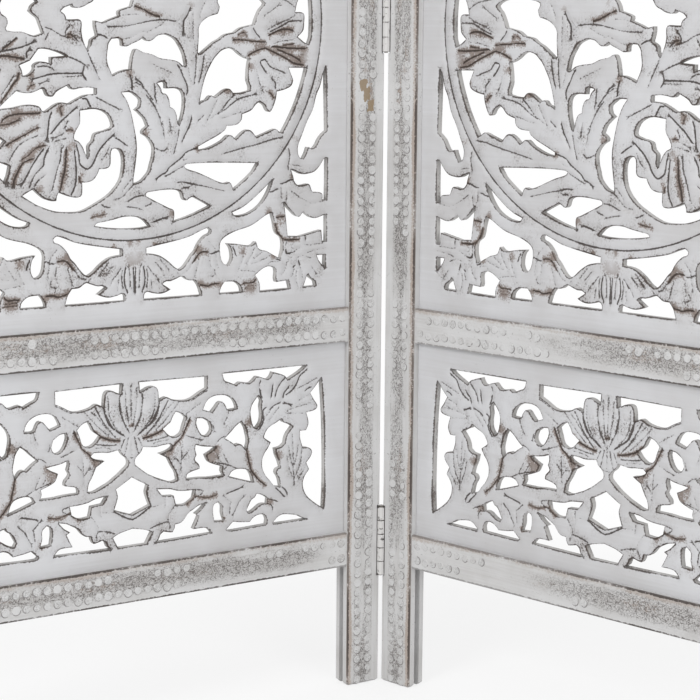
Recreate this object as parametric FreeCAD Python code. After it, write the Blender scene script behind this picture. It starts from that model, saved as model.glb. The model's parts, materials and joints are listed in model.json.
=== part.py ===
import FreeCAD, Part
import math
import os

# A folding screen of two carved openwork panels, joined by four butt hinges.
# Lengths are in millimetres and angles in degrees.
# Each panel is worked out in its own frame and then turned about the hinge axis:
# x runs along the panel from the hinge axis, y runs from its front face to its back, z is up.

Vector = FreeCAD.Vector
UP = Vector(0, 0, 1)

# Panel
PANEL_WIDTH = 536.0
PANEL_TURN = 37.3
HINGE_GAP = 1.2
HINGE_STANDOFF = 1.5

# Stiles, the upright posts
STILE_WIDTH = 38.0
STILE_DEPTH = 22.0
FOOT_CLEARANCE = 128.0
FOOT_EASE = 2.5
STILE_EASE = 1.2

# Rails, the cross bars
RAIL_HEIGHT = 35.0
RAIL_DEPTH = 16.0
TENON_LENGTH = 20.0
TENON_SHOULDER = 7.0

# Openwork boards
BOARD_THICKNESS = 7.0
BOARD_SETBACK = 1.5
BOARD_BORDER = 22.0
LOTUS_BOARD_HEIGHT = 198.0
RING_BOARD_HEIGHT = 565.0
STILE_GROOVE_DEPTH = 8.0
RAIL_GROOVE_DEPTH = 6.0
RING_OUTER_BAND = 6.7
RING_INNER_BAND = 10.9
RING_LAP = 1.2

# Hinges
HINGE_LENGTH = 72.0
HINGE_RISE = 5.5
TOP_HINGE_INSET = 50.0
KNUCKLE_RADIUS = 4.0
KNUCKLE_COUNT = 5
LEAF_THICKNESS = 2.0
LEAF_REACH = 17.0
PIN_RADIUS = 2.0
PIN_HEAD_RADIUS = 3.1
PIN_HEAD_HEIGHT = 1.4
PIN_TIP = 1.0
SCREW_COUNT = 2
SCREW_SPACING = 44.0
SCREW_REACH = 10.5
SCREW_LENGTH = 16.0
SCREW_HEAD_RADIUS = 3.0
SCREW_SHANK_RADIUS = 1.6
SCREW_HEAD_DEPTH = 1.5

# Round parts that repeat are made many-sided, to keep them light
RING_SIDES = 36
KNUCKLE_SIDES = 10
PIN_SIDES = 6
SCREW_SIDES = 6

# Clearances
GROOVE_CLEARANCE = 0.2
RUNNING_CLEARANCE = 0.05
KNUCKLE_CLEARANCE = 0.4
OVERRUN = 1.0

# Openwork of a lotus board, one half of it.
# Each point is a share of half the opening's width, from the middle, and of the board's height.
LOTUS_HALF_SHARES = [
    [(1.000, 0.150), (1.000, 0.830), (0.925, 0.760), (0.965, 0.690), (0.900, 0.570),
     (0.930, 0.460), (0.885, 0.300)],
    [(0.760, 0.300), (0.665, 0.410), (0.700, 0.530), (0.760, 0.640), (0.820, 0.600),
     (0.735, 0.490)],
    [(0.690, 0.245), (0.630, 0.277), (0.575, 0.200)],
    [(0.910, 0.107), (0.770, 0.150), (0.720, 0.107)],
    [(0.680, 0.107), (0.670, 0.160), (0.500, 0.150), (0.465, 0.107)],
    [(0.387, 0.105), (0.290, 0.142), (0.355, 0.270), (0.220, 0.185), (0.090, 0.105)],
    [(0.205, 0.400), (0.005, 0.510), (0.045, 0.585), (0.178, 0.600), (0.150, 0.520)],
    [(0.200, 0.742), (0.136, 0.662), (0.190, 0.600), (0.256, 0.705)],
    [(0.364, 0.900), (0.360, 0.835), (0.270, 0.792), (0.120, 0.800), (0.100, 0.875),
     (0.012, 0.890)],
    [(0.900, 0.905), (0.796, 0.840), (0.720, 0.885), (0.520, 0.840), (0.445, 0.905)],
    [(0.638, 0.775), (0.655, 0.680), (0.628, 0.610), (0.597, 0.700)],
    [(0.540, 0.655), (0.457, 0.580), (0.575, 0.510), (0.570, 0.610)],
    [(0.478, 0.384), (0.610, 0.340), (0.540, 0.416)],
    [(0.304, 0.565), (0.400, 0.545), (0.356, 0.507), (0.445, 0.440), (0.450, 0.390),
     (0.254, 0.398)],
    [(0.300, 0.340), (0.103, 0.368), (0.200, 0.275)],
    [(0.522, 0.722), (0.480, 0.790), (0.400, 0.800), (0.343, 0.735), (0.450, 0.765)],
    [(0.310, 0.697), (0.385, 0.670), (0.345, 0.600)],
]

# The two holes in the middle of a lotus board, under the fork of the stem.
LOTUS_MIDDLE_SHARES = [
    [(0.055, 0.105), (0.075, 0.155), (0.000, 0.190), (-0.075, 0.155), (-0.055, 0.105)],
    [(0.000, 0.445), (0.062, 0.395), (0.068, 0.295), (0.000, 0.258), (-0.068, 0.295),
     (-0.062, 0.395)],
]

# Openwork of a ring board outside its ring, one quarter of it.
# Each point is a share of half the opening's width, from the middle, and of half the board's height.
CORNER_SHARES = [
    [(0.810, 0.083), (0.735, 0.110), (0.710, 0.163), (0.620, 0.138), (0.645, 0.083)],
    [(0.550, 0.083), (0.510, 0.120), (0.435, 0.095)],
    [(0.340, 0.083), (0.305, 0.135), (0.150, 0.140), (0.045, 0.083)],
    [(1.005, 0.240), (1.005, 0.335), (0.880, 0.345), (0.775, 0.383), (0.795, 0.265)],
    [(1.005, 0.385), (1.005, 0.530), (0.940, 0.485), (0.812, 0.495), (0.840, 0.440)],
    [(1.005, 0.620), (1.005, 0.850), (0.840, 0.620), (0.880, 0.530)],
    [(0.715, 0.465), (0.480, 0.370), (0.600, 0.350)],
    [(0.710, 0.350), (0.440, 0.262), (0.437, 0.200), (0.480, 0.178), (0.475, 0.250),
     (0.758, 0.190)],
    [(0.390, 0.300), (0.060, 0.270), (0.060, 0.235), (0.225, 0.174)],
]

# Openwork inside the ring that is repeated, turned by half a turn, in the ring's upper half.
# Each point is a share of the ring's radius, from its centre, away from the hinge and up.
SCROLL_SHARES = [
    [(-0.980, -0.220), (-0.820, -0.220), (-0.720, -0.425), (-0.335, -0.585), (-0.600, -0.510),
     (-0.900, -0.530)],
    [(-0.650, -0.667), (-0.270, -0.660), (-0.500, -0.755), (-0.700, -0.700)],
    [(-0.395, -0.850), (-0.220, -0.778), (-0.065, -0.785), (-0.200, -0.870), (-0.200, -0.950)],
    [(-0.080, -0.925), (0.000, -0.893), (0.200, -0.930), (0.060, -0.970)],
    [(0.055, -0.325), (-0.015, -0.620), (0.000, -0.740), (-0.100, -0.600), (-0.050, -0.500),
     (-0.035, -0.370)],
    [(-0.125, -0.285), (-0.262, -0.345), (-0.235, -0.480)],
    [(-0.600, -0.185), (-0.500, -0.127), (-0.400, -0.200), (-0.340, -0.380), (-0.480, -0.320),
     (-0.610, -0.320)],
    [(0.320, -0.160), (0.455, -0.130), (0.545, -0.200), (0.450, -0.187)],
    [(0.180, -0.305), (0.315, -0.288), (0.390, -0.338), (0.560, -0.310), (0.660, -0.400),
     (0.435, -0.405)],
    [(0.105, -0.483), (0.120, -0.430), (0.260, -0.403), (0.290, -0.520), (0.228, -0.618)],
    [(0.060, -0.590), (0.120, -0.660), (0.255, -0.725), (0.260, -0.790), (0.545, -0.780),
     (0.280, -0.857), (0.130, -0.790)],
    [(0.720, -0.420), (0.860, -0.400), (0.780, -0.540)],
    [(0.720, -0.320), (0.700, -0.230), (0.930, -0.160), (0.880, -0.300)],
    [(-0.980, -0.100), (-0.870, -0.075), (-0.905, 0.000), (-0.855, 0.050), (-0.980, 0.130)],
]

# Openwork across the middle of the ring, which isn't repeated.
CROSSING_SHARES = [
    [(-0.270, -0.200), (-0.200, -0.070), (-0.080, -0.093), (0.110, -0.090), (0.110, -0.240),
     (0.005, -0.222), (-0.020, -0.135)],
    [(-0.635, -0.018), (-0.335, -0.150), (-0.342, -0.030), (-0.440, 0.030), (-0.440, 0.110),
     (-0.690, 0.080)],
    [(0.220, -0.140), (0.180, -0.005), (0.060, 0.018), (-0.110, 0.170), (-0.100, 0.240),
     (0.030, 0.150), (0.150, 0.140), (0.340, 0.035), (0.250, 0.000)],
    [(0.430, -0.060), (0.600, -0.050), (0.660, 0.060), (0.460, 0.075)],
]

# Places that follow from the sizes
stile_inner_edge = HINGE_GAP / 2 + STILE_WIDTH
panel_middle = HINGE_GAP / 2 + PANEL_WIDTH / 2
panel_outer_edge = HINGE_GAP / 2 + PANEL_WIDTH
sight_width = PANEL_WIDTH - 2 * STILE_WIDTH
opening_half_width = sight_width / 2 - BOARD_BORDER
front_face = HINGE_STANDOFF
mid_depth = front_face + STILE_DEPTH / 2
board_depth = mid_depth + BOARD_SETBACK
groove_width = BOARD_THICKNESS + 2 * GROOVE_CLEARANCE
ring_radius = opening_half_width + RING_LAP - RING_OUTER_BAND

# Bands of a panel from the bottom rail up, each with its kind and its height
BANDS = [
    ("bottom_rail", "rail", RAIL_HEIGHT),
    ("lower_lotus_board", "lotus", LOTUS_BOARD_HEIGHT),
    ("lower_mid_rail", "rail", RAIL_HEIGHT),
    ("lower_ring_board", "ring", RING_BOARD_HEIGHT),
    ("centre_rail", "rail", RAIL_HEIGHT),
    ("upper_ring_board", "ring", RING_BOARD_HEIGHT),
    ("upper_mid_rail", "rail", RAIL_HEIGHT),
    ("upper_lotus_board", "lotus", LOTUS_BOARD_HEIGHT),
    ("top_rail", "rail", RAIL_HEIGHT),
]
stile_height = FOOT_CLEARANCE + sum(height for name, kind, height in BANDS)


def box(low, high):
    """A block between two corners."""
    size = high - low
    return Part.makeBox(size.x, size.y, size.z, low)


def upright_prism(points, depth, thickness):
    """A flat plate from an outline of x and z, from one depth and as thick as given."""
    corners = [Vector(x, depth, z) for x, z in points]
    face = Part.Face(Part.makePolygon(corners + corners[:1]))
    return face.extrude(Vector(0, thickness, 0))


def disc(radius, centre_x, centre_z):
    """A many-sided round plug that passes through a board."""
    turns = [2 * math.pi * index / RING_SIDES for index in range(RING_SIDES)]
    points = [(centre_x + radius * math.cos(angle), centre_z + radius * math.sin(angle))
              for angle in turns]
    return upright_prism(points, board_depth - BOARD_THICKNESS, 2 * BOARD_THICKNESS)


def holes(outlines, centre_x, start_z, unit_x, unit_z):
    """Plugs for a list of outlines, given as shares of two units from a starting point."""
    start = board_depth - BOARD_THICKNESS / 2 - OVERRUN
    plugs = []
    for outline in outlines:
        points = [(centre_x + unit_x * x, start_z + unit_z * z) for x, z in outline]
        plugs.append(upright_prism(points, start, BOARD_THICKNESS + 2 * OVERRUN))
    return plugs


def board_blank(low_z, height):
    """A plain board with the tongues that sit in the stiles and rails."""
    side = STILE_GROOVE_DEPTH - GROOVE_CLEARANCE
    end = RAIL_GROOVE_DEPTH - GROOVE_CLEARANCE
    low = Vector(stile_inner_edge - side, board_depth - BOARD_THICKNESS / 2, low_z - end)
    high = Vector(stile_inner_edge + sight_width + side, board_depth + BOARD_THICKNESS / 2,
                  low_z + height + end)
    return box(low, high)


def lotus_board(low_z, height, upside_down):
    """A low board: a lotus on a forked stem, with leaves either side."""
    start = low_z + height if upside_down else low_z
    rise = -height if upside_down else height
    plugs = holes(LOTUS_MIDDLE_SHARES, panel_middle, start, opening_half_width, rise)
    for side in (-1, 1):
        plugs += holes(LOTUS_HALF_SHARES, panel_middle, start, side * opening_half_width, rise)
    return board_blank(low_z, height).cut(Part.makeCompound(plugs))


def ring_board(low_z, height):
    """A tall board: a scroll of leaves and flowers in a ring, with leaves in the corners."""
    middle = low_z + height / 2
    outer = disc(ring_radius + RING_OUTER_BAND, panel_middle, middle)
    inner = disc(ring_radius - RING_INNER_BAND, panel_middle, middle)
    corner_plugs = []
    for side in (-1, 1):
        for end in (-1, 1):
            corner_plugs += holes(CORNER_SHARES, panel_middle, middle - end * height / 2,
                                  side * opening_half_width, end * height / 2)
    scroll_plugs = holes(CROSSING_SHARES, panel_middle, middle, ring_radius, ring_radius)
    for turn in (-1, 1):
        scroll_plugs += holes(SCROLL_SHARES, panel_middle, middle,
                              turn * ring_radius, turn * ring_radius)
    blank = board_blank(low_z, height)
    blank = blank.cut(Part.makeCompound(corner_plugs).cut(outer))
    return blank.cut(Part.makeCompound(scroll_plugs).common(inner))


def rail(low_z, height, grooved_below, grooved_above):
    """A cross bar with a stub tenon at each end and grooves for the boards."""
    front = mid_depth - RAIL_DEPTH / 2
    back = mid_depth + RAIL_DEPTH / 2
    bar = box(Vector(stile_inner_edge, front, low_z),
              Vector(stile_inner_edge + sight_width, back, low_z + height))
    tenon = box(Vector(stile_inner_edge - TENON_LENGTH, board_depth - BOARD_THICKNESS / 2,
                       low_z + TENON_SHOULDER),
                Vector(stile_inner_edge + sight_width + TENON_LENGTH,
                       board_depth + BOARD_THICKNESS / 2, low_z + height - TENON_SHOULDER))
    bar = bar.fuse(tenon)
    for grooved, level, reach in ((grooved_below, low_z, -OVERRUN),
                                  (grooved_above, low_z + height, OVERRUN)):
        if grooved:
            inside = level + math.copysign(RAIL_GROOVE_DEPTH, -reach)
            low = Vector(stile_inner_edge - OVERRUN, board_depth - groove_width / 2,
                         min(inside, level + reach))
            high = Vector(stile_inner_edge + sight_width + OVERRUN, board_depth + groove_width / 2,
                          max(inside, level + reach))
            bar = bar.cut(box(low, high))
    return bar.removeSplitter()


def rail_levels():
    """The lower edge of every rail."""
    level = FOOT_CLEARANCE
    levels = []
    for name, kind, height in BANDS:
        if kind == "rail":
            levels.append(level)
        level += height
    return levels


def ring_centres():
    """The height of every ring's centre."""
    level = FOOT_CLEARANCE
    centres = []
    for name, kind, height in BANDS:
        if kind == "ring":
            centres.append(level + height / 2)
        level += height
    return centres


def stile(low_x, grooved_edge, inward):
    """A post with eased edges, a groove for the boards and a mortise for each rail."""
    post = box(Vector(low_x, front_face, 0),
               Vector(low_x + STILE_WIDTH, front_face + STILE_DEPTH, stile_height))
    feet = [edge for edge in post.Edges if edge.BoundBox.ZMax < OVERRUN]
    post = post.makeChamfer(FOOT_EASE, feet)
    front_edges = [edge for edge in post.Edges
                   if edge.BoundBox.ZLength > stile_height / 2
                   and edge.BoundBox.YMax < front_face + OVERRUN]
    post = post.makeChamfer(STILE_EASE, front_edges)
    cuts = [slot(grooved_edge, inward, STILE_GROOVE_DEPTH, groove_width,
                 -OVERRUN, stile_height + OVERRUN)]
    for level in rail_levels():
        cuts.append(slot(grooved_edge, inward, TENON_LENGTH + GROOVE_CLEARANCE, groove_width,
                         level + TENON_SHOULDER - GROOVE_CLEARANCE,
                         level + RAIL_HEIGHT - TENON_SHOULDER + GROOVE_CLEARANCE))
    for cut in cuts:
        post = post.cut(cut)
    return post


def slot(edge_x, inward, depth, width, low_z, high_z):
    """A slot cut into a stile from its grooved edge; inward is 1 or -1 along x."""
    mouth = edge_x - inward * OVERRUN
    end = edge_x + inward * depth
    low = Vector(min(mouth, end), board_depth - width / 2, low_z)
    high = Vector(max(mouth, end), board_depth + width / 2, high_z)
    return box(low, high)


def hinge_middles():
    """Hinges sit a little above the bottom rail's middle and each ring's centre, and near the top."""
    bottom = FOOT_CLEARANCE + RAIL_HEIGHT / 2
    top = stile_height - TOP_HINGE_INSET - HINGE_LENGTH / 2
    return [level + HINGE_RISE for level in [bottom] + ring_centres()] + [top]


def knuckle_span(middle, index):
    """The heights between which one knuckle of a hinge lies."""
    pitch = HINGE_LENGTH / KNUCKLE_COUNT
    low = middle - HINGE_LENGTH / 2 + index * pitch
    return low + KNUCKLE_CLEARANCE / 2, low + pitch - KNUCKLE_CLEARANCE / 2


def peg(rings, sides):
    """A many-sided peg on the hinge axis, through rings of a height and a radius each."""
    turns = [2 * math.pi * index / sides for index in range(sides)]
    loops = [[Vector(radius * math.cos(angle), radius * math.sin(angle), level)
              for angle in turns] for level, radius in rings]
    outlines = [loops[0], loops[-1]]
    for lower, upper in zip(loops, loops[1:]):
        for index in range(sides):
            following = (index + 1) % sides
            outlines.append([lower[index], lower[following], upper[following], upper[index]])
    faces = [Part.Face(Part.makePolygon(corners + corners[:1])) for corners in outlines]
    solid = Part.Solid(Part.Shell(faces))
    return solid if solid.Volume > 0 else solid.reversed()


def axis_bar(radius, sides, low_z, high_z):
    """A bar on the hinge axis, with its corners on the given radius."""
    return peg([(low_z, radius), (high_z, radius)], sides)


def axis_bore(radius, sides, low_z, high_z):
    """A cutter on the hinge axis, with its flat sides on the given radius."""
    return axis_bar(radius / math.cos(math.pi / sides), sides, low_z, high_z)


def screw_heights(middle):
    """The heights of the screws of one hinge leaf."""
    return [middle + (index - (SCREW_COUNT - 1) / 2) * SCREW_SPACING for index in range(SCREW_COUNT)]


def screw(height, clearance):
    """A countersunk wood screw, driven along x through a leaf into the stile's edge."""
    head = SCREW_HEAD_RADIUS + clearance
    shank = SCREW_SHANK_RADIUS + clearance
    shape = peg([(0, head), (SCREW_HEAD_DEPTH, shank), (SCREW_LENGTH + clearance, shank)],
                SCREW_SIDES)
    shape.rotate(Vector(0, 0, 0), Vector(0, 1, 0), 90)
    shape.translate(Vector(HINGE_GAP / 2, front_face + SCREW_REACH, height))
    return shape


def leaf(middle, own_knuckles):
    """A hinge leaf, let in flush with the stile's edge, with its own knuckles on the axis."""
    plate = box(Vector(HINGE_GAP / 2, 0, middle - HINGE_LENGTH / 2),
                Vector(HINGE_GAP / 2 + LEAF_THICKNESS, front_face + LEAF_REACH,
                       middle + HINGE_LENGTH / 2))
    for index in range(KNUCKLE_COUNT):
        low, high = knuckle_span(middle, index)
        if index in own_knuckles:
            plate = plate.fuse(axis_bar(KNUCKLE_RADIUS, KNUCKLE_SIDES, low, high))
        else:
            plate = plate.cut(axis_bore(KNUCKLE_RADIUS + KNUCKLE_CLEARANCE, KNUCKLE_SIDES,
                                        low - KNUCKLE_CLEARANCE, high + KNUCKLE_CLEARANCE))
    plate = plate.cut(axis_bore(PIN_RADIUS + RUNNING_CLEARANCE, PIN_SIDES,
                                middle - HINGE_LENGTH, middle + HINGE_LENGTH))
    for height in screw_heights(middle):
        plate = plate.cut(screw(height, RUNNING_CLEARANCE))
    return plate.removeSplitter()


def pin(middle):
    """A hinge pin with a head above the top knuckle and a tip below the bottom one."""
    low = middle - HINGE_LENGTH / 2
    high = middle + HINGE_LENGTH / 2 - KNUCKLE_CLEARANCE / 2
    shaft = axis_bar(PIN_RADIUS, PIN_SIDES, low - PIN_TIP, high)
    head = axis_bar(PIN_HEAD_RADIUS, PIN_SIDES, high, high + PIN_HEAD_HEIGHT)
    return shaft.fuse(head).removeSplitter()


def hinge_stile():
    """The post beside the hinges, with a bed for each leaf and room for the knuckles."""
    post = stile(HINGE_GAP / 2, stile_inner_edge, -1)
    for middle in hinge_middles():
        low = middle - HINGE_LENGTH / 2
        high = middle + HINGE_LENGTH / 2
        bed = box(Vector(HINGE_GAP / 2 - OVERRUN, front_face - OVERRUN, low - GROOVE_CLEARANCE),
                  Vector(HINGE_GAP / 2 + LEAF_THICKNESS,
                         front_face + LEAF_REACH + GROOVE_CLEARANCE, high + GROOVE_CLEARANCE))
        post = post.cut(bed)
        post = post.cut(axis_bore(KNUCKLE_RADIUS + KNUCKLE_CLEARANCE, KNUCKLE_SIDES,
                                  low - PIN_TIP - KNUCKLE_CLEARANCE,
                                  high + PIN_HEAD_HEIGHT + KNUCKLE_CLEARANCE))
        for height in screw_heights(middle):
            post = post.cut(screw(height, RUNNING_CLEARANCE))
    return post


def setback(x, y):
    """How far behind the hinge axis a point of a turned panel lies."""
    turn = math.radians(PANEL_TURN)
    return math.cos(turn) * y - math.sin(turn) * x


# The hinge axis stands behind the middle of the floor space that the panels take
nearest = min(setback(panel_outer_edge - STILE_EASE, front_face),
              setback(panel_outer_edge, front_face + STILE_EASE))
farthest = setback(HINGE_GAP / 2, front_face + STILE_DEPTH)
axis_y = -(nearest + farthest) / 2


def place(shape, side):
    """Turns a piece of a panel to its place; side is 1 for the right panel, -1 for the left."""
    turned = shape.rotated(Vector(0, 0, 0), UP, -PANEL_TURN)
    if side < 0:
        turned = turned.mirror(Vector(0, 0, 0), Vector(1, 0, 0))
    return turned.translated(Vector(0, axis_y, 0))


def panel_pieces():
    """Every wooden piece of one panel, in the panel's own frame."""
    outer_low = panel_outer_edge - STILE_WIDTH
    pieces = {"inner_stile": hinge_stile(), "outer_stile": stile(outer_low, outer_low, 1)}
    level = FOOT_CLEARANCE
    for index, (name, kind, height) in enumerate(BANDS):
        if kind == "rail":
            pieces[name] = rail(level, height, index > 0, index < len(BANDS) - 1)
        elif kind == "lotus":
            pieces[name] = lotus_board(level, height, index > len(BANDS) / 2)
        else:
            pieces[name] = ring_board(level, height)
        level += height
    return pieces


def export(shape, name):
    """Writes one node and prints what it holds."""
    for solid in shape.Solids:
        if not solid.isValid():
            raise ValueError(name + " has a faulty solid")
    shape.exportStep("parts/" + name + ".step")
    print(name, len(shape.Solids), "solids", round(shape.Volume / 1000, 1), "cm3")


os.makedirs("parts", exist_ok=True)
nodes = {}
for piece_name, piece in panel_pieces().items():
    nodes["left_" + piece_name] = place(piece, -1)
    nodes["right_" + piece_name] = place(piece, 1)

left_knuckles = range(0, KNUCKLE_COUNT, 2)
right_knuckles = range(1, KNUCKLE_COUNT, 2)
middles = hinge_middles()
heights = [height for middle in middles for height in screw_heights(middle)]
screws = Part.makeCompound([screw(height, 0) for height in heights])
nodes["left_hinge_leaves"] = place(Part.makeCompound([leaf(m, left_knuckles) for m in middles]), -1)
nodes["right_hinge_leaves"] = place(Part.makeCompound([leaf(m, right_knuckles) for m in middles]), 1)
nodes["left_hinge_screws"] = place(screws, -1)
nodes["right_hinge_screws"] = place(screws, 1)
nodes["hinge_pins"] = place(Part.makeCompound([pin(middle) for middle in middles]), 1)

for node_name, node_shape in nodes.items():
    export(node_shape, node_name)
print("axis_y", round(axis_y, 3), "height", stile_height)
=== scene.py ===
# %% [markdown]
# # A carved folding screen
# The object is a screen of two tall panels that fold on four hinges. Each panel is a frame of two
# posts and five cross bars, with four thin openwork boards let into it, under a worn white wash.
# The posts, bars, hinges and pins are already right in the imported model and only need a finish.
# The carved boards and the stamped pattern on the frame are made here.

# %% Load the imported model
import json
import math
import bpy
import numpy as np
from mathutils import Matrix, Vector, geometry, kdtree


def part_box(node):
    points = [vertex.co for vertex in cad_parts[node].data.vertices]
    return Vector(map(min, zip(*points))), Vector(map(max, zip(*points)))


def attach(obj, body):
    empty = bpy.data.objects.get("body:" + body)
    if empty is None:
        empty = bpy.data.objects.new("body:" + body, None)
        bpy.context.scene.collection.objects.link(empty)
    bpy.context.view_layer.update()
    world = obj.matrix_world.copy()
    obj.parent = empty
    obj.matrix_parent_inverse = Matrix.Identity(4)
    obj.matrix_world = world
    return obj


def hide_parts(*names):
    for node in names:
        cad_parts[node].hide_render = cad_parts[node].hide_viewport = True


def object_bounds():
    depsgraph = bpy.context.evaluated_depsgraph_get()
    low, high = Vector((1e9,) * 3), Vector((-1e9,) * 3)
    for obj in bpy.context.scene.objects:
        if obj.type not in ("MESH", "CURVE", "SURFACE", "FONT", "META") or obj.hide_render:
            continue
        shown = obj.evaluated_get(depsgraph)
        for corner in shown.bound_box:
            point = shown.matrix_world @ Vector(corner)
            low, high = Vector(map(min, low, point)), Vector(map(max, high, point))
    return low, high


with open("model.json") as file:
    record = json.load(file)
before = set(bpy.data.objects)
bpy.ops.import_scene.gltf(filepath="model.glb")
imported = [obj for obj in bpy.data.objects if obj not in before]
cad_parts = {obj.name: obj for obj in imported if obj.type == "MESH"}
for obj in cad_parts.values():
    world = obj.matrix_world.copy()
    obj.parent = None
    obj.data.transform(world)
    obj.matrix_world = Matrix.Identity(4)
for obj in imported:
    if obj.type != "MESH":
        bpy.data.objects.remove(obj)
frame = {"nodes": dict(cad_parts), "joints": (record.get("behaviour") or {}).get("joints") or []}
nodes = frame["nodes"]
cad_low, cad_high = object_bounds()
print(len(nodes), "nodes, box", cad_low, cad_high)

# %% [markdown]
# ## The panel's own frame
# Both panels are drawn once, flat, in millimetres: u runs along the panel from the hinge line,
# depth runs from the front to the back and z is up. The right panel is that drawing turned about
# the hinge line, and the left one is its mirror image.

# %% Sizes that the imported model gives
hinge_line = Vector(frame["joints"][0]["pos_m"])
PANEL_TURN = math.radians(37.3)  # how far each panel is turned from the flat
FRONT_DEPTH = 1.5  # how far the posts' fronts lie behind the hinge line
RAIL_FRONT = 4.5
BOARD_FRONT = 10.5
BOARD_BACK = 17.5
POST_WIDTH = 38.0
POST_START = 0.6  # where the inner post begins
PANEL_MIDDLE = 268.6
LOTUS_HEIGHT = 198.0  # the low boards between their bars
RING_HEIGHT = 565.0  # the tall boards between their bars
SIGHT_HALF_WIDTH = 230.0  # from a board's middle to a post
OPENING_HALF_WIDTH = 208.0  # from a board's middle to the end of its carving
RING_RADIUS = 202.5  # the line that is cut round the ring
RING_OUTSIDE = 209.2  # the corner holes start here
RING_INSIDE = 191.6  # the scroll's holes end here
SIDES = ((-1, "left"), (1, "right"))
BARS = ("bottom_rail", "lower_mid_rail", "centre_rail", "upper_mid_rail", "top_rail")


def to_row(points, side):
    """Points of u, depth and z in millimetres, put in place in metres; side is 1 right, -1 left."""
    u, depth, z = np.asarray(points, float).T / 1000
    cosine, sine = math.cos(PANEL_TURN), math.sin(PANEL_TURN)
    x = side * (u * cosine + depth * sine)
    y = hinge_line.y - u * sine + depth * cosine
    return np.stack([x, y, z], axis=1)


def heights(name):
    """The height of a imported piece's middle, and half its own height, in millimetres."""
    low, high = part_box(name)
    return (low.z + high.z) * 500, (high.z - low.z) * 500


def new_object(name, data):
    """An object in the scene that holds the data."""
    made = bpy.data.objects.new(name, data)
    bpy.context.scene.collection.objects.link(made)
    return made


print("hinge line at", hinge_line)

# %% [markdown]
# ## The camera
# The photograph was taken from a little right of the middle and from about table height, looking
# down by ten degrees at the lower half of the screen. The top is outside the picture.

# %% Camera
camera_data = bpy.data.cameras.new("camera")
camera = new_object("camera", camera_data)
bpy.context.scene.camera = camera
camera_data.sensor_width = 36.0
camera_data.lens = 98.7
camera_data.clip_end = 50.0
camera_place = Vector((0.1410, hinge_line.y - 1.9087, 0.6826))
look_turn, look_down, look_roll = math.radians(5.22), math.radians(9.874), math.radians(0.464)
forward = Vector((-math.sin(look_turn) * math.cos(look_down),
                  math.cos(look_turn) * math.cos(look_down), -math.sin(look_down)))
level_right = forward.cross(Vector((0, 0, 1))).normalized()
level_up = level_right.cross(forward)
right = level_right * math.cos(look_roll) + level_up * math.sin(look_roll)
up = right.cross(forward)
turned = Matrix((right, up, -forward)).transposed().to_4x4()
camera.matrix_world = Matrix.Translation(camera_place) @ turned
print("camera at", camera_place)
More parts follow.
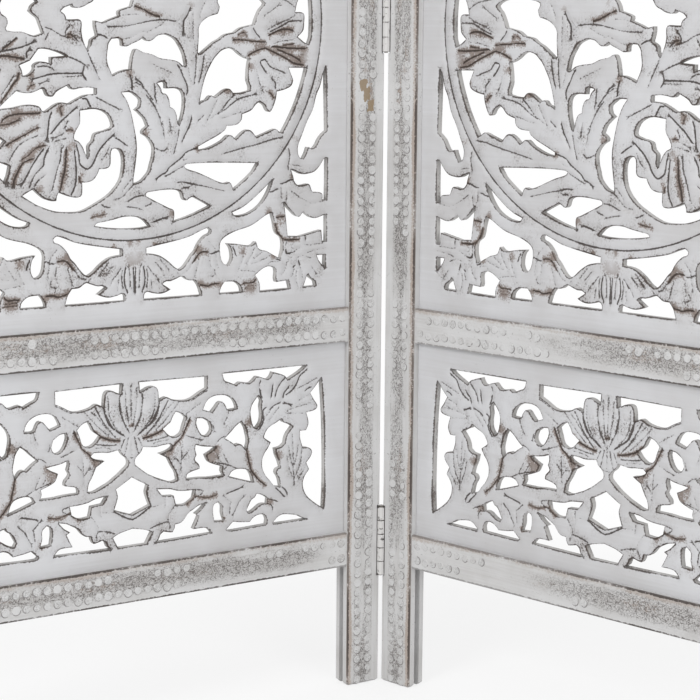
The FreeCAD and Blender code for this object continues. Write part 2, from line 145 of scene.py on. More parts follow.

# %% [markdown]
# ## The drawing of the openwork
# Every hole is a closed line that was drawn over the photograph. The numbers are
# thousandths, so that they hold for any board: on the low boards x is a share of half the
# carving's width, from the middle, and y is a share of the board's height, from below. A third
# number, 1, marks a sharp corner.
# The low board holds a lotus on a forked stem. One half of it is drawn, and the other is its mirror.

# %% Holes of a low board
LOTUS_HALF = [
    [(985, 835, 1), (952, 793), (922, 761, 1), (945, 721), (964, 690), (952, 672), (900, 662, 1),
     (911, 628), (913, 600), (900, 571, 1), (866, 571, 1), (868, 530), (883, 483, 1), (920, 477),
     (935, 455), (925, 430), (902, 402, 1), (918, 366, 1), (894, 334), (883, 300), (889, 261),
     (910, 224), (955, 183), (1000, 152, 1), (1005, 300), (1003, 500), (998, 650)],
    [(763, 644, 1), (734, 628), (707, 616, 1), (686, 600), (670, 571), (668, 560), (705, 531, 1),
     (686, 498), (674, 483), (660, 455), (657, 422), (662, 394), (678, 362), (701, 334), (724, 305),
     (760, 295, 1), (750, 340), (733, 372), (742, 390, 1), (760, 395, 1), (750, 430), (737, 460),
     (730, 495, 1), (762, 500, 1), (783, 515, 1), (788, 543), (800, 567), (825, 598, 1), (800, 615),
     (775, 625)],
    [(690, 244, 1), (670, 259), (651, 269), (628, 277, 1), (620, 261), (600, 249), (585, 224),
     (573, 200, 1), (583, 182, 1), (600, 186), (624, 200), (647, 216), (666, 220), (686, 216, 1)],
    [(910, 107, 1), (879, 117), (848, 135), (809, 145), (771, 150), (747, 143), (732, 131),
     (718, 115, 1), (720, 107, 1)],
    [(680, 110, 1), (684, 135), (672, 160), (643, 168), (617, 160), (600, 148), (591, 136, 1),
     (540, 142), (500, 150, 1), (485, 137), (463, 115, 1), (475, 106)],
    [(420, 262, 1), (442, 240), (443, 200), (455, 160, 1), (400, 165, 1), (393, 210), (397, 250)],
    [(387, 108, 1), (362, 136), (340, 142), (289, 142, 1), (304, 172), (319, 205, 1), (300, 216, 1),
     (331, 237), (358, 268, 1), (319, 259), (290, 243), (262, 226), (240, 198), (223, 184),
     (194, 180, 1), (190, 160), (180, 142, 1), (165, 144), (134, 152, 1), (117, 140), (107, 115),
     (90, 103, 1)],
    [(172, 586, 1), (134, 584), (95, 579), (45, 587, 1), (35, 560), (16, 537), (12, 520), (14, 505),
     (34, 481), (60, 453), (92, 430), (122, 416), (178, 394), (208, 400, 1), (200, 440), (184, 467),
     (161, 515, 1), (117, 541, 1), (155, 550), (186, 570)],
    [(202, 742, 1), (186, 720), (173, 692), (136, 662, 1), (162, 632), (185, 617, 1), (205, 616, 1),
     (230, 632), (243, 670), (256, 705, 1), (235, 727)],
    [(364, 900, 1), (364, 840, 1), (327, 822), (289, 800), (260, 792), (220, 794), (183, 803, 1),
     (155, 818), (130, 810), (117, 800, 1), (114, 840), (108, 865), (95, 876), (70, 875), (50, 862),
     (36, 855, 1), (33, 905, 1)],
    [(902, 905, 1), (875, 882), (817, 850), (796, 840, 1), (786, 858), (771, 868), (717, 887, 1),
     (706, 865), (690, 853), (655, 866), (630, 872), (612, 855), (593, 843), (540, 852),
     (521, 840, 1), (478, 860), (457, 870), (445, 905, 1)],
    [(636, 775, 1), (655, 750), (651, 720), (655, 680), (650, 640), (628, 610, 1), (612, 620),
     (600, 656), (595, 700), (605, 735)],
    [(545, 655, 1), (517, 636), (493, 612), (457, 580, 1), (478, 567), (500, 550), (515, 537, 1),
     (531, 543), (547, 537), (572, 505, 1), (582, 550), (577, 583), (566, 624)],
    [(478, 384, 1), (500, 376), (550, 358), (610, 338, 1), (600, 375), (585, 400), (560, 412),
     (517, 416), (490, 405)],
    [(304, 565, 1), (340, 553), (393, 545), (415, 541, 1), (385, 521), (356, 507, 1), (374, 470),
     (410, 452), (445, 440, 1), (441, 414), (452, 392, 1), (377, 392), (323, 397), (254, 398, 1),
     (256, 420), (275, 432), (323, 443, 1), (322, 462), (298, 492), (308, 515, 1), (300, 544)],
    [(300, 340, 1), (246, 342), (204, 348), (170, 360), (103, 368, 1), (130, 330, 1), (188, 325, 1),
     (196, 290), (200, 275, 1), (250, 273), (290, 297, 1)],
    [(522, 722, 1), (517, 745), (500, 773), (462, 795), (430, 800), (395, 797), (365, 780),
     (348, 750), (343, 735, 1), (390, 718, 1), (410, 740), (428, 762), (445, 765), (461, 745),
     (472, 722)],
    [(312, 697, 1), (345, 692), (378, 670, 1), (388, 635), (378, 612), (360, 602), (335, 612),
     (315, 645), (307, 675)],
]
LOTUS_MIDDLE = [
    [(55, 103, 1), (66, 130), (78, 158, 1), (50, 175), (0, 190, 1), (-50, 175), (-78, 158, 1),
     (-66, 130), (-55, 103, 1)],
    [(0, 445, 1), (30, 420), (62, 395, 1), (55, 360), (60, 330), (70, 293, 1), (35, 275),
     (0, 258, 1), (-35, 275), (-70, 293, 1), (-60, 330), (-55, 360), (-62, 395, 1), (-30, 420)],
]
print(len(LOTUS_HALF), "holes in a half and", len(LOTUS_MIDDLE), "in the middle of a low board")

# %% [markdown]
# The tall board has a ring with a scroll of leaves in it and a spray of leaves in each corner.
# One corner is drawn and mirrored to the others. Its y is a share of half the board's height, from
# the board's end towards its middle.

# %% Holes in a corner of a tall board
CORNER = [
    [(950, 85, 1), (945, 100), (920, 115), (908, 128, 1), (900, 120), (890, 100), (880, 83, 1)],
    [(810, 82, 1), (800, 112, 1), (735, 108, 1), (730, 120), (733, 140), (730, 155), (720, 160),
     (690, 165), (660, 158), (620, 138, 1), (632, 125), (645, 105), (645, 80, 1)],
    [(550, 83, 1), (545, 100), (530, 112), (510, 120), (460, 123, 1), (445, 110), (435, 95),
     (432, 83, 1)],
    [(340, 83, 1), (325, 115), (305, 135, 1), (270, 137), (250, 147), (235, 152), (210, 145),
     (180, 138), (155, 138), (140, 130, 1), (160, 120), (180, 110, 1), (160, 103), (130, 98),
     (90, 102), (60, 108), (47, 100), (45, 83, 1)],
    [(1000, 145, 1), (1003, 193, 1), (955, 192, 1), (965, 175)],
    [(1008, 240, 1), (1008, 335, 1), (935, 323), (880, 347, 1), (855, 330), (810, 355),
     (775, 383, 1), (785, 330), (795, 265, 1), (860, 262, 1), (900, 268), (980, 280, 1),
     (985, 240, 1)],
    [(1008, 385, 1), (1010, 450), (1010, 530, 1), (995, 530), (970, 505), (940, 485), (900, 478),
     (870, 478), (840, 488), (812, 495, 1), (825, 470), (830, 455), (850, 440), (880, 440),
     (910, 443), (920, 430), (930, 415), (970, 412), (985, 405), (985, 385, 1)],
    [(1008, 625, 1), (1005, 720), (1000, 845, 1), (985, 820), (970, 780), (950, 750), (930, 700),
     (900, 660), (870, 610), (850, 575), (850, 550), (860, 535), (880, 530, 1), (895, 550),
     (905, 570, 1), (935, 565), (950, 575), (970, 600), (990, 615)],
    [(715, 465, 1), (660, 430), (600, 395), (550, 372), (500, 358, 1), (510, 348), (550, 346),
     (600, 356), (650, 380), (690, 420)],
    [(710, 350, 1), (680, 343), (600, 310), (500, 289), (440, 262), (436, 220), (450, 187),
     (480, 178), (498, 200), (492, 235), (475, 252, 1), (530, 248), (600, 240), (625, 253, 1),
     (640, 228), (680, 218), (735, 196, 1), (758, 190, 1), (770, 225), (765, 260), (735, 280),
     (722, 320)],
    [(390, 300, 1), (375, 310), (330, 300), (280, 285), (200, 272), (120, 262), (60, 255, 1),
     (60, 235, 1), (100, 232), (130, 225), (170, 205), (200, 185), (225, 174, 1), (245, 180),
     (270, 200), (290, 220), (310, 235), (320, 250), (340, 270), (365, 285), (385, 290)],
]
print(len(CORNER), "holes in a corner")

# %% [markdown]
# Inside the ring the numbers are shares of its radius, from its centre, with x away from the
# hinges. The lower half of the scroll is turned by half a turn to fill the upper half, which is
# nearly all outside the photograph, and four holes across the middle are on their own.

# %% Holes inside the ring
SCROLL = [
    [(-925, -222, 1), (-820, -220, 1), (-835, -255), (-845, -280), (-835, -305), (-800, -322),
     (-755, -332, 1), (-752, -360), (-735, -405), (-718, -428), (-703, -418), (-690, -395),
     (-660, -378, 1), (-640, -392), (-620, -415), (-600, -425), (-568, -435, 1), (-565, -460),
     (-545, -480), (-520, -486), (-485, -488, 1), (-477, -505), (-440, -530), (-380, -558),
     (-335, -580, 1), (-335, -597, 1), (-390, -588), (-460, -558), (-500, -530), (-535, -552, 1),
     (-580, -515), (-610, -510), (-645, -545, 1), (-700, -525), (-750, -508), (-765, -520),
     (-795, -530, 1), (-830, -470), (-870, -400), (-905, -310)],
    [(-655, -668, 1), (-580, -664), (-480, -660), (-360, -657), (-270, -660), (-260, -668, 1),
     (-270, -680), (-330, -700), (-380, -722), (-440, -748), (-480, -757), (-500, -752),
     (-510, -765), (-520, -790, 1), (-600, -740)],
    [(-395, -860, 1), (-350, -835), (-305, -812, 1), (-285, -820), (-270, -830), (-255, -820),
     (-245, -790), (-220, -778), (-170, -774), (-100, -779), (-65, -785), (-63, -800, 1),
     (-110, -825), (-150, -845), (-180, -860), (-203, -870), (-207, -900), (-200, -930, 1),
     (-300, -905)],
    [(-80, -940, 1), (-50, -910), (-10, -893), (50, -890), (100, -900), (150, -908), (190, -915),
     (200, -935, 1), (60, -955)],
    [(55, -325, 1), (30, -360), (10, -410), (0, -450), (-10, -500), (-18, -550), (-18, -600),
     (-10, -660), (0, -720), (0, -742, 1), (-40, -730), (-80, -690), (-90, -660), (-102, -620),
     (-105, -580), (-95, -555), (-75, -530), (-50, -515, 1), (-50, -500), (-75, -480, 1),
     (-60, -445), (-45, -430), (-30, -415), (-15, -405, 1), (-35, -390, 1), (-40, -360),
     (-20, -340), (5, -325)],
    [(-125, -285, 1), (-165, -280), (-170, -310, 1), (-220, -310), (-250, -320), (-262, -345),
     (-262, -390), (-255, -430), (-245, -460), (-235, -480, 1), (-228, -460), (-222, -430),
     (-210, -405), (-190, -395, 1), (-185, -360), (-170, -335), (-150, -330), (-145, -310)],
    [(-610, -180, 1), (-585, -172), (-555, -155), (-530, -135), (-500, -127), (-460, -138),
     (-440, -155), (-420, -175), (-395, -215), (-375, -255), (-360, -300), (-350, -340),
     (-340, -385, 1), (-360, -370), (-380, -365), (-400, -345), (-425, -355, 1), (-460, -330),
     (-480, -318), (-500, -315), (-520, -335, 1), (-560, -335), (-610, -325, 1), (-610, -305),
     (-600, -280), (-600, -240), (-605, -200)],
    [(-930, -112, 1), (-905, -100), (-870, -75, 1), (-900, -45), (-905, -10), (-905, 30),
     (-890, 40), (-855, 40, 1), (-860, 60), (-868, 90), (-895, 140), (-935, 165, 1), (-950, 100),
     (-955, 30), (-950, -50)],
    [(320, -160, 1), (350, -147), (400, -132), (440, -128), (455, -130, 1), (475, -155),
     (495, -180, 1), (520, -190), (545, -200, 1), (535, -220), (530, -245, 1), (510, -245),
     (485, -230), (475, -210), (478, -200), (450, -185), (420, -187), (395, -195, 1),
     (395, -165, 1), (360, -163)],
    [(180, -305, 1), (220, -300), (260, -303), (295, -308), (315, -288, 1), (350, -305),
     (375, -320), (390, -338), (415, -335), (430, -305), (450, -305, 1), (490, -320), (530, -320),
     (560, -310, 1), (590, -335), (630, -370), (660, -400, 1), (630, -390), (580, -385),
     (530, -375), (490, -373), (455, -382), (443, -400, 1), (430, -405), (410, -395), (380, -375),
     (350, -365), (310, -370), (290, -360), (260, -345), (235, -335), (180, -330, 1)],
    [(120, -425), (140, -410), (170, -400), (200, -397), (260, -403, 1), (260, -440), (262, -460),
     (280, -490, 1), (290, -510), (290, -530), (270, -540), (250, -565), (240, -590),
     (228, -618, 1), (220, -600), (220, -560), (200, -540), (190, -510), (165, -500), (140, -495),
     (105, -483, 1), (100, -470), (110, -440)],
    [(55, -600), (65, -585), (85, -577), (105, -580), (112, -600), (115, -650), (130, -665),
     (170, -668, 1), (180, -690), (200, -715), (230, -725), (255, -725, 1), (255, -760),
     (260, -785), (280, -792), (315, -787), (370, -765, 1), (378, -780), (382, -803, 1),
     (405, -803), (440, -790), (470, -765), (490, -745, 1), (530, -765), (545, -775, 1),
     (520, -800), (470, -820), (420, -840), (370, -853), (300, -858), (260, -855), (220, -840),
     (170, -815), (120, -785), (80, -745), (60, -710), (50, -660), (50, -620)],
    [(600, -640, 1), (640, -625), (680, -620), (660, -700), (625, -715, 1), (610, -680)],
    [(620, -530, 1), (660, -510), (680, -540), (660, -570)],
    [(700, -430, 1), (780, -425), (855, -395, 1), (830, -460), (790, -530, 1), (755, -500),
     (715, -460)],
    [(720, -320, 1), (705, -275), (700, -235, 1), (760, -225), (840, -210), (900, -198, 1),
     (905, -240), (895, -290, 1), (820, -295)],
]
CROSSING = [
    [(-275, -205, 1), (-262, -150), (-240, -110), (-220, -85), (-190, -70), (-170, -65),
     (-130, -70), (-110, -85), (-90, -96), (-70, -90), (-55, -78, 1), (-40, -90), (0, -107),
     (30, -120), (48, -115, 1), (50, -90), (60, -82, 1), (100, -85, 1), (115, -105), (120, -130),
     (125, -170), (120, -200), (105, -235), (100, -250, 1), (70, -235), (30, -222), (8, -222, 1),
     (3, -190), (-5, -155), (-20, -130), (-50, -143), (-100, -155), (-140, -172), (-200, -180),
     (-235, -190), (-262, -210)],
    [(-635, -18, 1), (-600, -25), (-560, -35), (-530, -55, 1), (-480, -65), (-450, -85),
     (-420, -100), (-380, -130), (-345, -155), (-335, -145, 1), (-340, -80), (-342, -30),
     (-360, -5), (-390, 15), (-440, 30, 1), (-450, 60), (-438, 90), (-470, 105, 1), (-560, 115),
     (-650, 105), (-690, 80), (-665, 50), (-645, 10)],
    [(220, -140, 1), (205, -115), (200, -90), (170, -70, 1), (180, -30), (180, -5, 1), (140, -12),
     (110, 0), (60, 18, 1), (65, 35), (50, 45), (0, 60, 1), (-10, 90), (-40, 125), (-95, 165),
     (-118, 205), (-105, 240, 1), (-50, 230), (-8, 222, 1), (0, 190), (20, 150), (100, 145),
     (160, 120), (190, 80), (210, 70), (240, 55), (270, 50), (285, 55), (290, 65, 1), (330, 50),
     (345, 35, 1), (325, 20), (318, 0, 1), (280, 0), (255, 0), (245, -15), (247, -50), (240, -90)],
    [(430, -60, 1), (470, -72), (500, -65), (530, -55), (565, -55), (600, -50, 1), (605, -40),
     (595, -20), (600, 5), (625, 25), (630, 60), (610, 90), (540, 92), (455, 80), (480, 60),
     (492, 35, 1), (475, 20), (455, 5), (445, -20)],
]
print(len(SCROLL), "holes of the scroll, twice, and", len(CROSSING), "across the middle")

# %% [markdown]
# ## The cut lines
# Between the holes the carver cut veins, creases and petal edges into the face. Each is a line
# with a weight: "t" is a faint one, "m" a plain one and "s" a deep one, and "b" says that the
# wash has worn off along it. They follow the same shares as the holes beside them. A worn spot is
# a place and its reach in millimetres.

# %% Cut lines of a low board
LOTUS_CUTS = [
    ("sb", [(675, 315), (640, 345), (620, 370), (598, 400), (590, 430), (582, 460), (575, 500)]),
    ("t", [(833, 305), (828, 400), (825, 500), (822, 560)]), ("t", [(870, 410), (877, 500)]),
    ("t", [(900, 390), (885, 365), (870, 345)]), ("s", [(760, 300), (785, 275), (795, 255)]),
    ("s", [(735, 290), (760, 265), (775, 245)]), ("m", [(690, 243), (735, 225)]),
    ("m", [(700, 215), (715, 195), (715, 180)]),
    ("mb", [(410, 300), (360, 292), (300, 305), (265, 280), (255, 270)]),
    ("m", [(310, 340), (340, 330), (330, 315), (300, 300)]), ("m", [(490, 250), (470, 270), (450, 290)]),
    ("m", [(485, 245), (480, 200)]), ("s", [(545, 320), (510, 310), (470, 300)]),
    ("m", [(500, 190), (515, 215), (530, 245), (555, 270)]),
    ("t", [(190, 275), (165, 240), (155, 215), (165, 180)]), ("t", [(145, 330), (142, 280)]),
    ("s", [(70, 285), (40, 260), (20, 245), (0, 235)]), ("t", [(130, 290), (80, 285)]),
    ("m", [(150, 200), (100, 190), (70, 178)]),
    ("s", [(900, 880), (865, 855), (845, 815), (820, 785), (790, 765)]),
    ("s", [(800, 800), (780, 780), (770, 755)]), ("s", [(785, 855), (760, 830), (740, 800), (730, 770)]),
    ("s", [(715, 820), (712, 795), (708, 770)]), ("s", [(645, 805), (648, 785), (655, 765)]),
    ("m", [(648, 850), (642, 835)]), ("t", [(960, 835), (900, 810), (850, 790)]),
    ("s", [(920, 790), (900, 780)]), ("t", [(910, 750), (880, 740), (860, 730)]),
    ("t", [(900, 705), (840, 695), (800, 685)]), ("t", [(880, 660), (840, 665), (800, 670)]),
    ("s", [(805, 715), (785, 722)]), ("s", [(745, 725), (720, 715), (700, 700)]),
    ("t", [(745, 700), (720, 675), (700, 650)]), ("t", [(715, 705), (690, 680), (670, 655)]),
    ("s", [(675, 710), (663, 700), (662, 670), (665, 650), (655, 625), (640, 605)]),
    ("m", [(365, 830), (340, 820), (310, 803), (285, 790)]),
    ("t", [(325, 770), (300, 755), (270, 735), (255, 725)]),
    ("t", [(178, 780), (160, 765), (140, 740), (115, 710), (90, 680)]),
    ("m", [(115, 790), (110, 770), (100, 750), (85, 715)]),
    ("s", [(117, 795), (111, 762), (96, 725), (63, 685), (33, 658)]),
    ("t", [(95, 845), (92, 770), (66, 705), (42, 674)]),
    ("m", [(38, 868), (45, 823), (34, 735), (12, 675)]), ("t", [(22, 880), (20, 800), (8, 700)]),
    ("t", [(0, 890), (0, 700)]), ("m", [(160, 800), (134, 752), (96, 694), (62, 652)]),
    ("t", [(215, 785), (157, 718), (104, 668)]), ("m", [(66, 612), (118, 618), (158, 626)]),
    ("m", [(12, 640), (19, 596), (26, 560)]), ("m", [(28, 634), (36, 610), (40, 594)]),
    ("sb", [(165, 685), (150, 670), (130, 657), (100, 645), (70, 635), (45, 630)]),
    ("t", [(160, 608), (120, 606), (90, 600)]), ("t", [(0, 650), (0, 555)]),
    ("m", [(30, 553), (16, 544), (0, 541)]), ("t", [(475, 720), (470, 690), (455, 660)]),
    ("sb", [(270, 690), (258, 665), (245, 640), (235, 618), (218, 598), (200, 585), (175, 552)]),
    ("t", [(300, 600), (270, 610), (250, 620)]), ("m", [(395, 650), (400, 625)]),
    ("m", [(340, 585), (310, 595), (285, 605)]), ("m", [(420, 570), (430, 580), (455, 590)]),
    ("t", [(230, 560), (228, 500), (225, 450)]), ("t", [(229, 500), (254, 528)]),
    ("t", [(227, 478), (204, 506)]), ("m", [(520, 420), (470, 445), (420, 460), (388, 468)]),
    ("t", [(480, 440), (464, 470), (450, 500)]), ("t", [(440, 455), (425, 480), (417, 498)]),
    ("t", [(470, 440), (442, 418), (420, 405)]), ("t", [(832, 400), (848, 450), (854, 500)]),
    ("t", [(834, 335), (860, 385), (874, 440)]), ("t", [(822, 400), (810, 450), (804, 495)]),
    ("t", [(824, 340), (804, 390), (794, 440)]),
]
LOTUS_WEAR = [(385, 495, 9), (750, 460, 6), (165, 540, 6), (585, 650, 6), (415, 530, 6),
              (440, 172, 5), (0, 700, 3), (700, 225, 5), (905, 565, 4)]
print(len(LOTUS_CUTS), "cut lines in half a low board")

# %% Cut lines of a tall board's corner
CORNER_CUTS = [
    ("t", [(985, 379), (960, 378), (930, 374), (910, 379), (890, 386), (860, 397), (835, 410),
           (815, 420)]), ("t", [(910, 365), (890, 370)]),
    ("s", [(822, 460), (800, 458), (785, 452), (760, 447)]), ("t", [(790, 415), (787, 395), (785, 385)]),
    ("t", [(760, 400), (757, 435)]), ("s", [(735, 430), (715, 423), (700, 421)]),
    ("sb", [(855, 252), (830, 252), (800, 252), (780, 254), (760, 263), (745, 275), (735, 290),
           (730, 310)]), ("s", [(890, 262), (892, 252)]),
    ("t", [(980, 232), (950, 232), (920, 230), (890, 232)]), ("t", [(860, 222), (840, 215), (820, 207)]),
    ("s", [(805, 205), (795, 205)]), ("s", [(785, 215), (787, 205)]),
    ("sb", [(778, 335), (760, 334), (740, 332)]), ("t", [(785, 250), (785, 240), (782, 225)]),
    ("s", [(755, 183), (735, 188)]), ("t", [(700, 205), (680, 195), (660, 190), (630, 182), (600, 178)]),
    ("t", [(655, 216), (640, 208), (620, 198)]), ("t", [(615, 232), (605, 215), (595, 203), (580, 185)]),
    ("s", [(503, 236), (512, 225), (517, 213)]), ("t", [(740, 178), (700, 180), (690, 172)]),
    ("t", [(620, 150), (580, 155), (540, 158)]), ("s", [(855, 175), (860, 165)]),
    ("s", [(830, 160), (825, 155)]), ("t", [(930, 150), (950, 130)]),
    ("t", [(860, 160), (870, 140), (875, 120)]), ("t", [(845, 145), (840, 120), (845, 100)]),
    ("t", [(790, 175), (780, 150), (765, 135)]), ("t", [(830, 150), (822, 130)]),
    ("sb", [(622, 122), (610, 113), (580, 113), (556, 112)]), ("t", [(630, 102), (560, 104)]),
    ("t", [(630, 93), (565, 94)]), ("s", [(430, 230), (410, 225), (390, 221)]),
    ("sb", [(370, 228), (350, 230), (330, 226), (315, 215), (300, 200)]),
    ("t", [(325, 200), (315, 180), (310, 165), (305, 150)]), ("t", [(380, 200), (385, 180)]),
    ("t", [(405, 165), (410, 150), (390, 143)]), ("t", [(215, 165), (225, 158)]),
    ("t", [(130, 212), (170, 178)]), ("t", [(110, 200), (140, 175)]),
    ("m", [(95, 165), (80, 180), (70, 190)]), ("t", [(115, 150), (100, 165)]),
    ("m", [(60, 185), (65, 160), (60, 130)]), ("s", [(45, 190), (50, 170), (50, 140), (36, 110)]),
    ("m", [(30, 195), (25, 180), (22, 130)]), ("s", [(6, 190), (4, 160), (4, 110)]),
    ("t", [(80, 150), (85, 120)]), ("t", [(120, 140), (105, 160)]),
    ("sb", [(425, 118), (390, 117), (375, 112), (350, 115), (332, 118)]),
    ("m", [(800, 565), (805, 540), (800, 520), (795, 505)]), ("t", [(830, 510), (850, 508)]),
    ("t", [(420, 185), (415, 205), (405, 240), (380, 262)]), ("t", [(560, 215), (550, 190), (530, 160)]),
    ("t", [(990, 215), (950, 212), (905, 205)]), ("t", [(915, 185), (880, 195), (850, 190)]),
    ("t", [(700, 130), (680, 135)]), ("t", [(250, 165), (270, 172), (285, 190)]),
]
CORNER_WEAR = [(550, 225, 6), (10, 222, 9), (100, 267, 3), (20, 272, 4), (835, 600, 4),
               (320, 240, 7), (435, 112, 5), (595, 100, 9), (820, 470, 4), (720, 200, 5),
               (765, 320, 4), (690, 355, 5), (335, 125, 5)]
print(len(CORNER_CUTS), "cut lines in a corner")

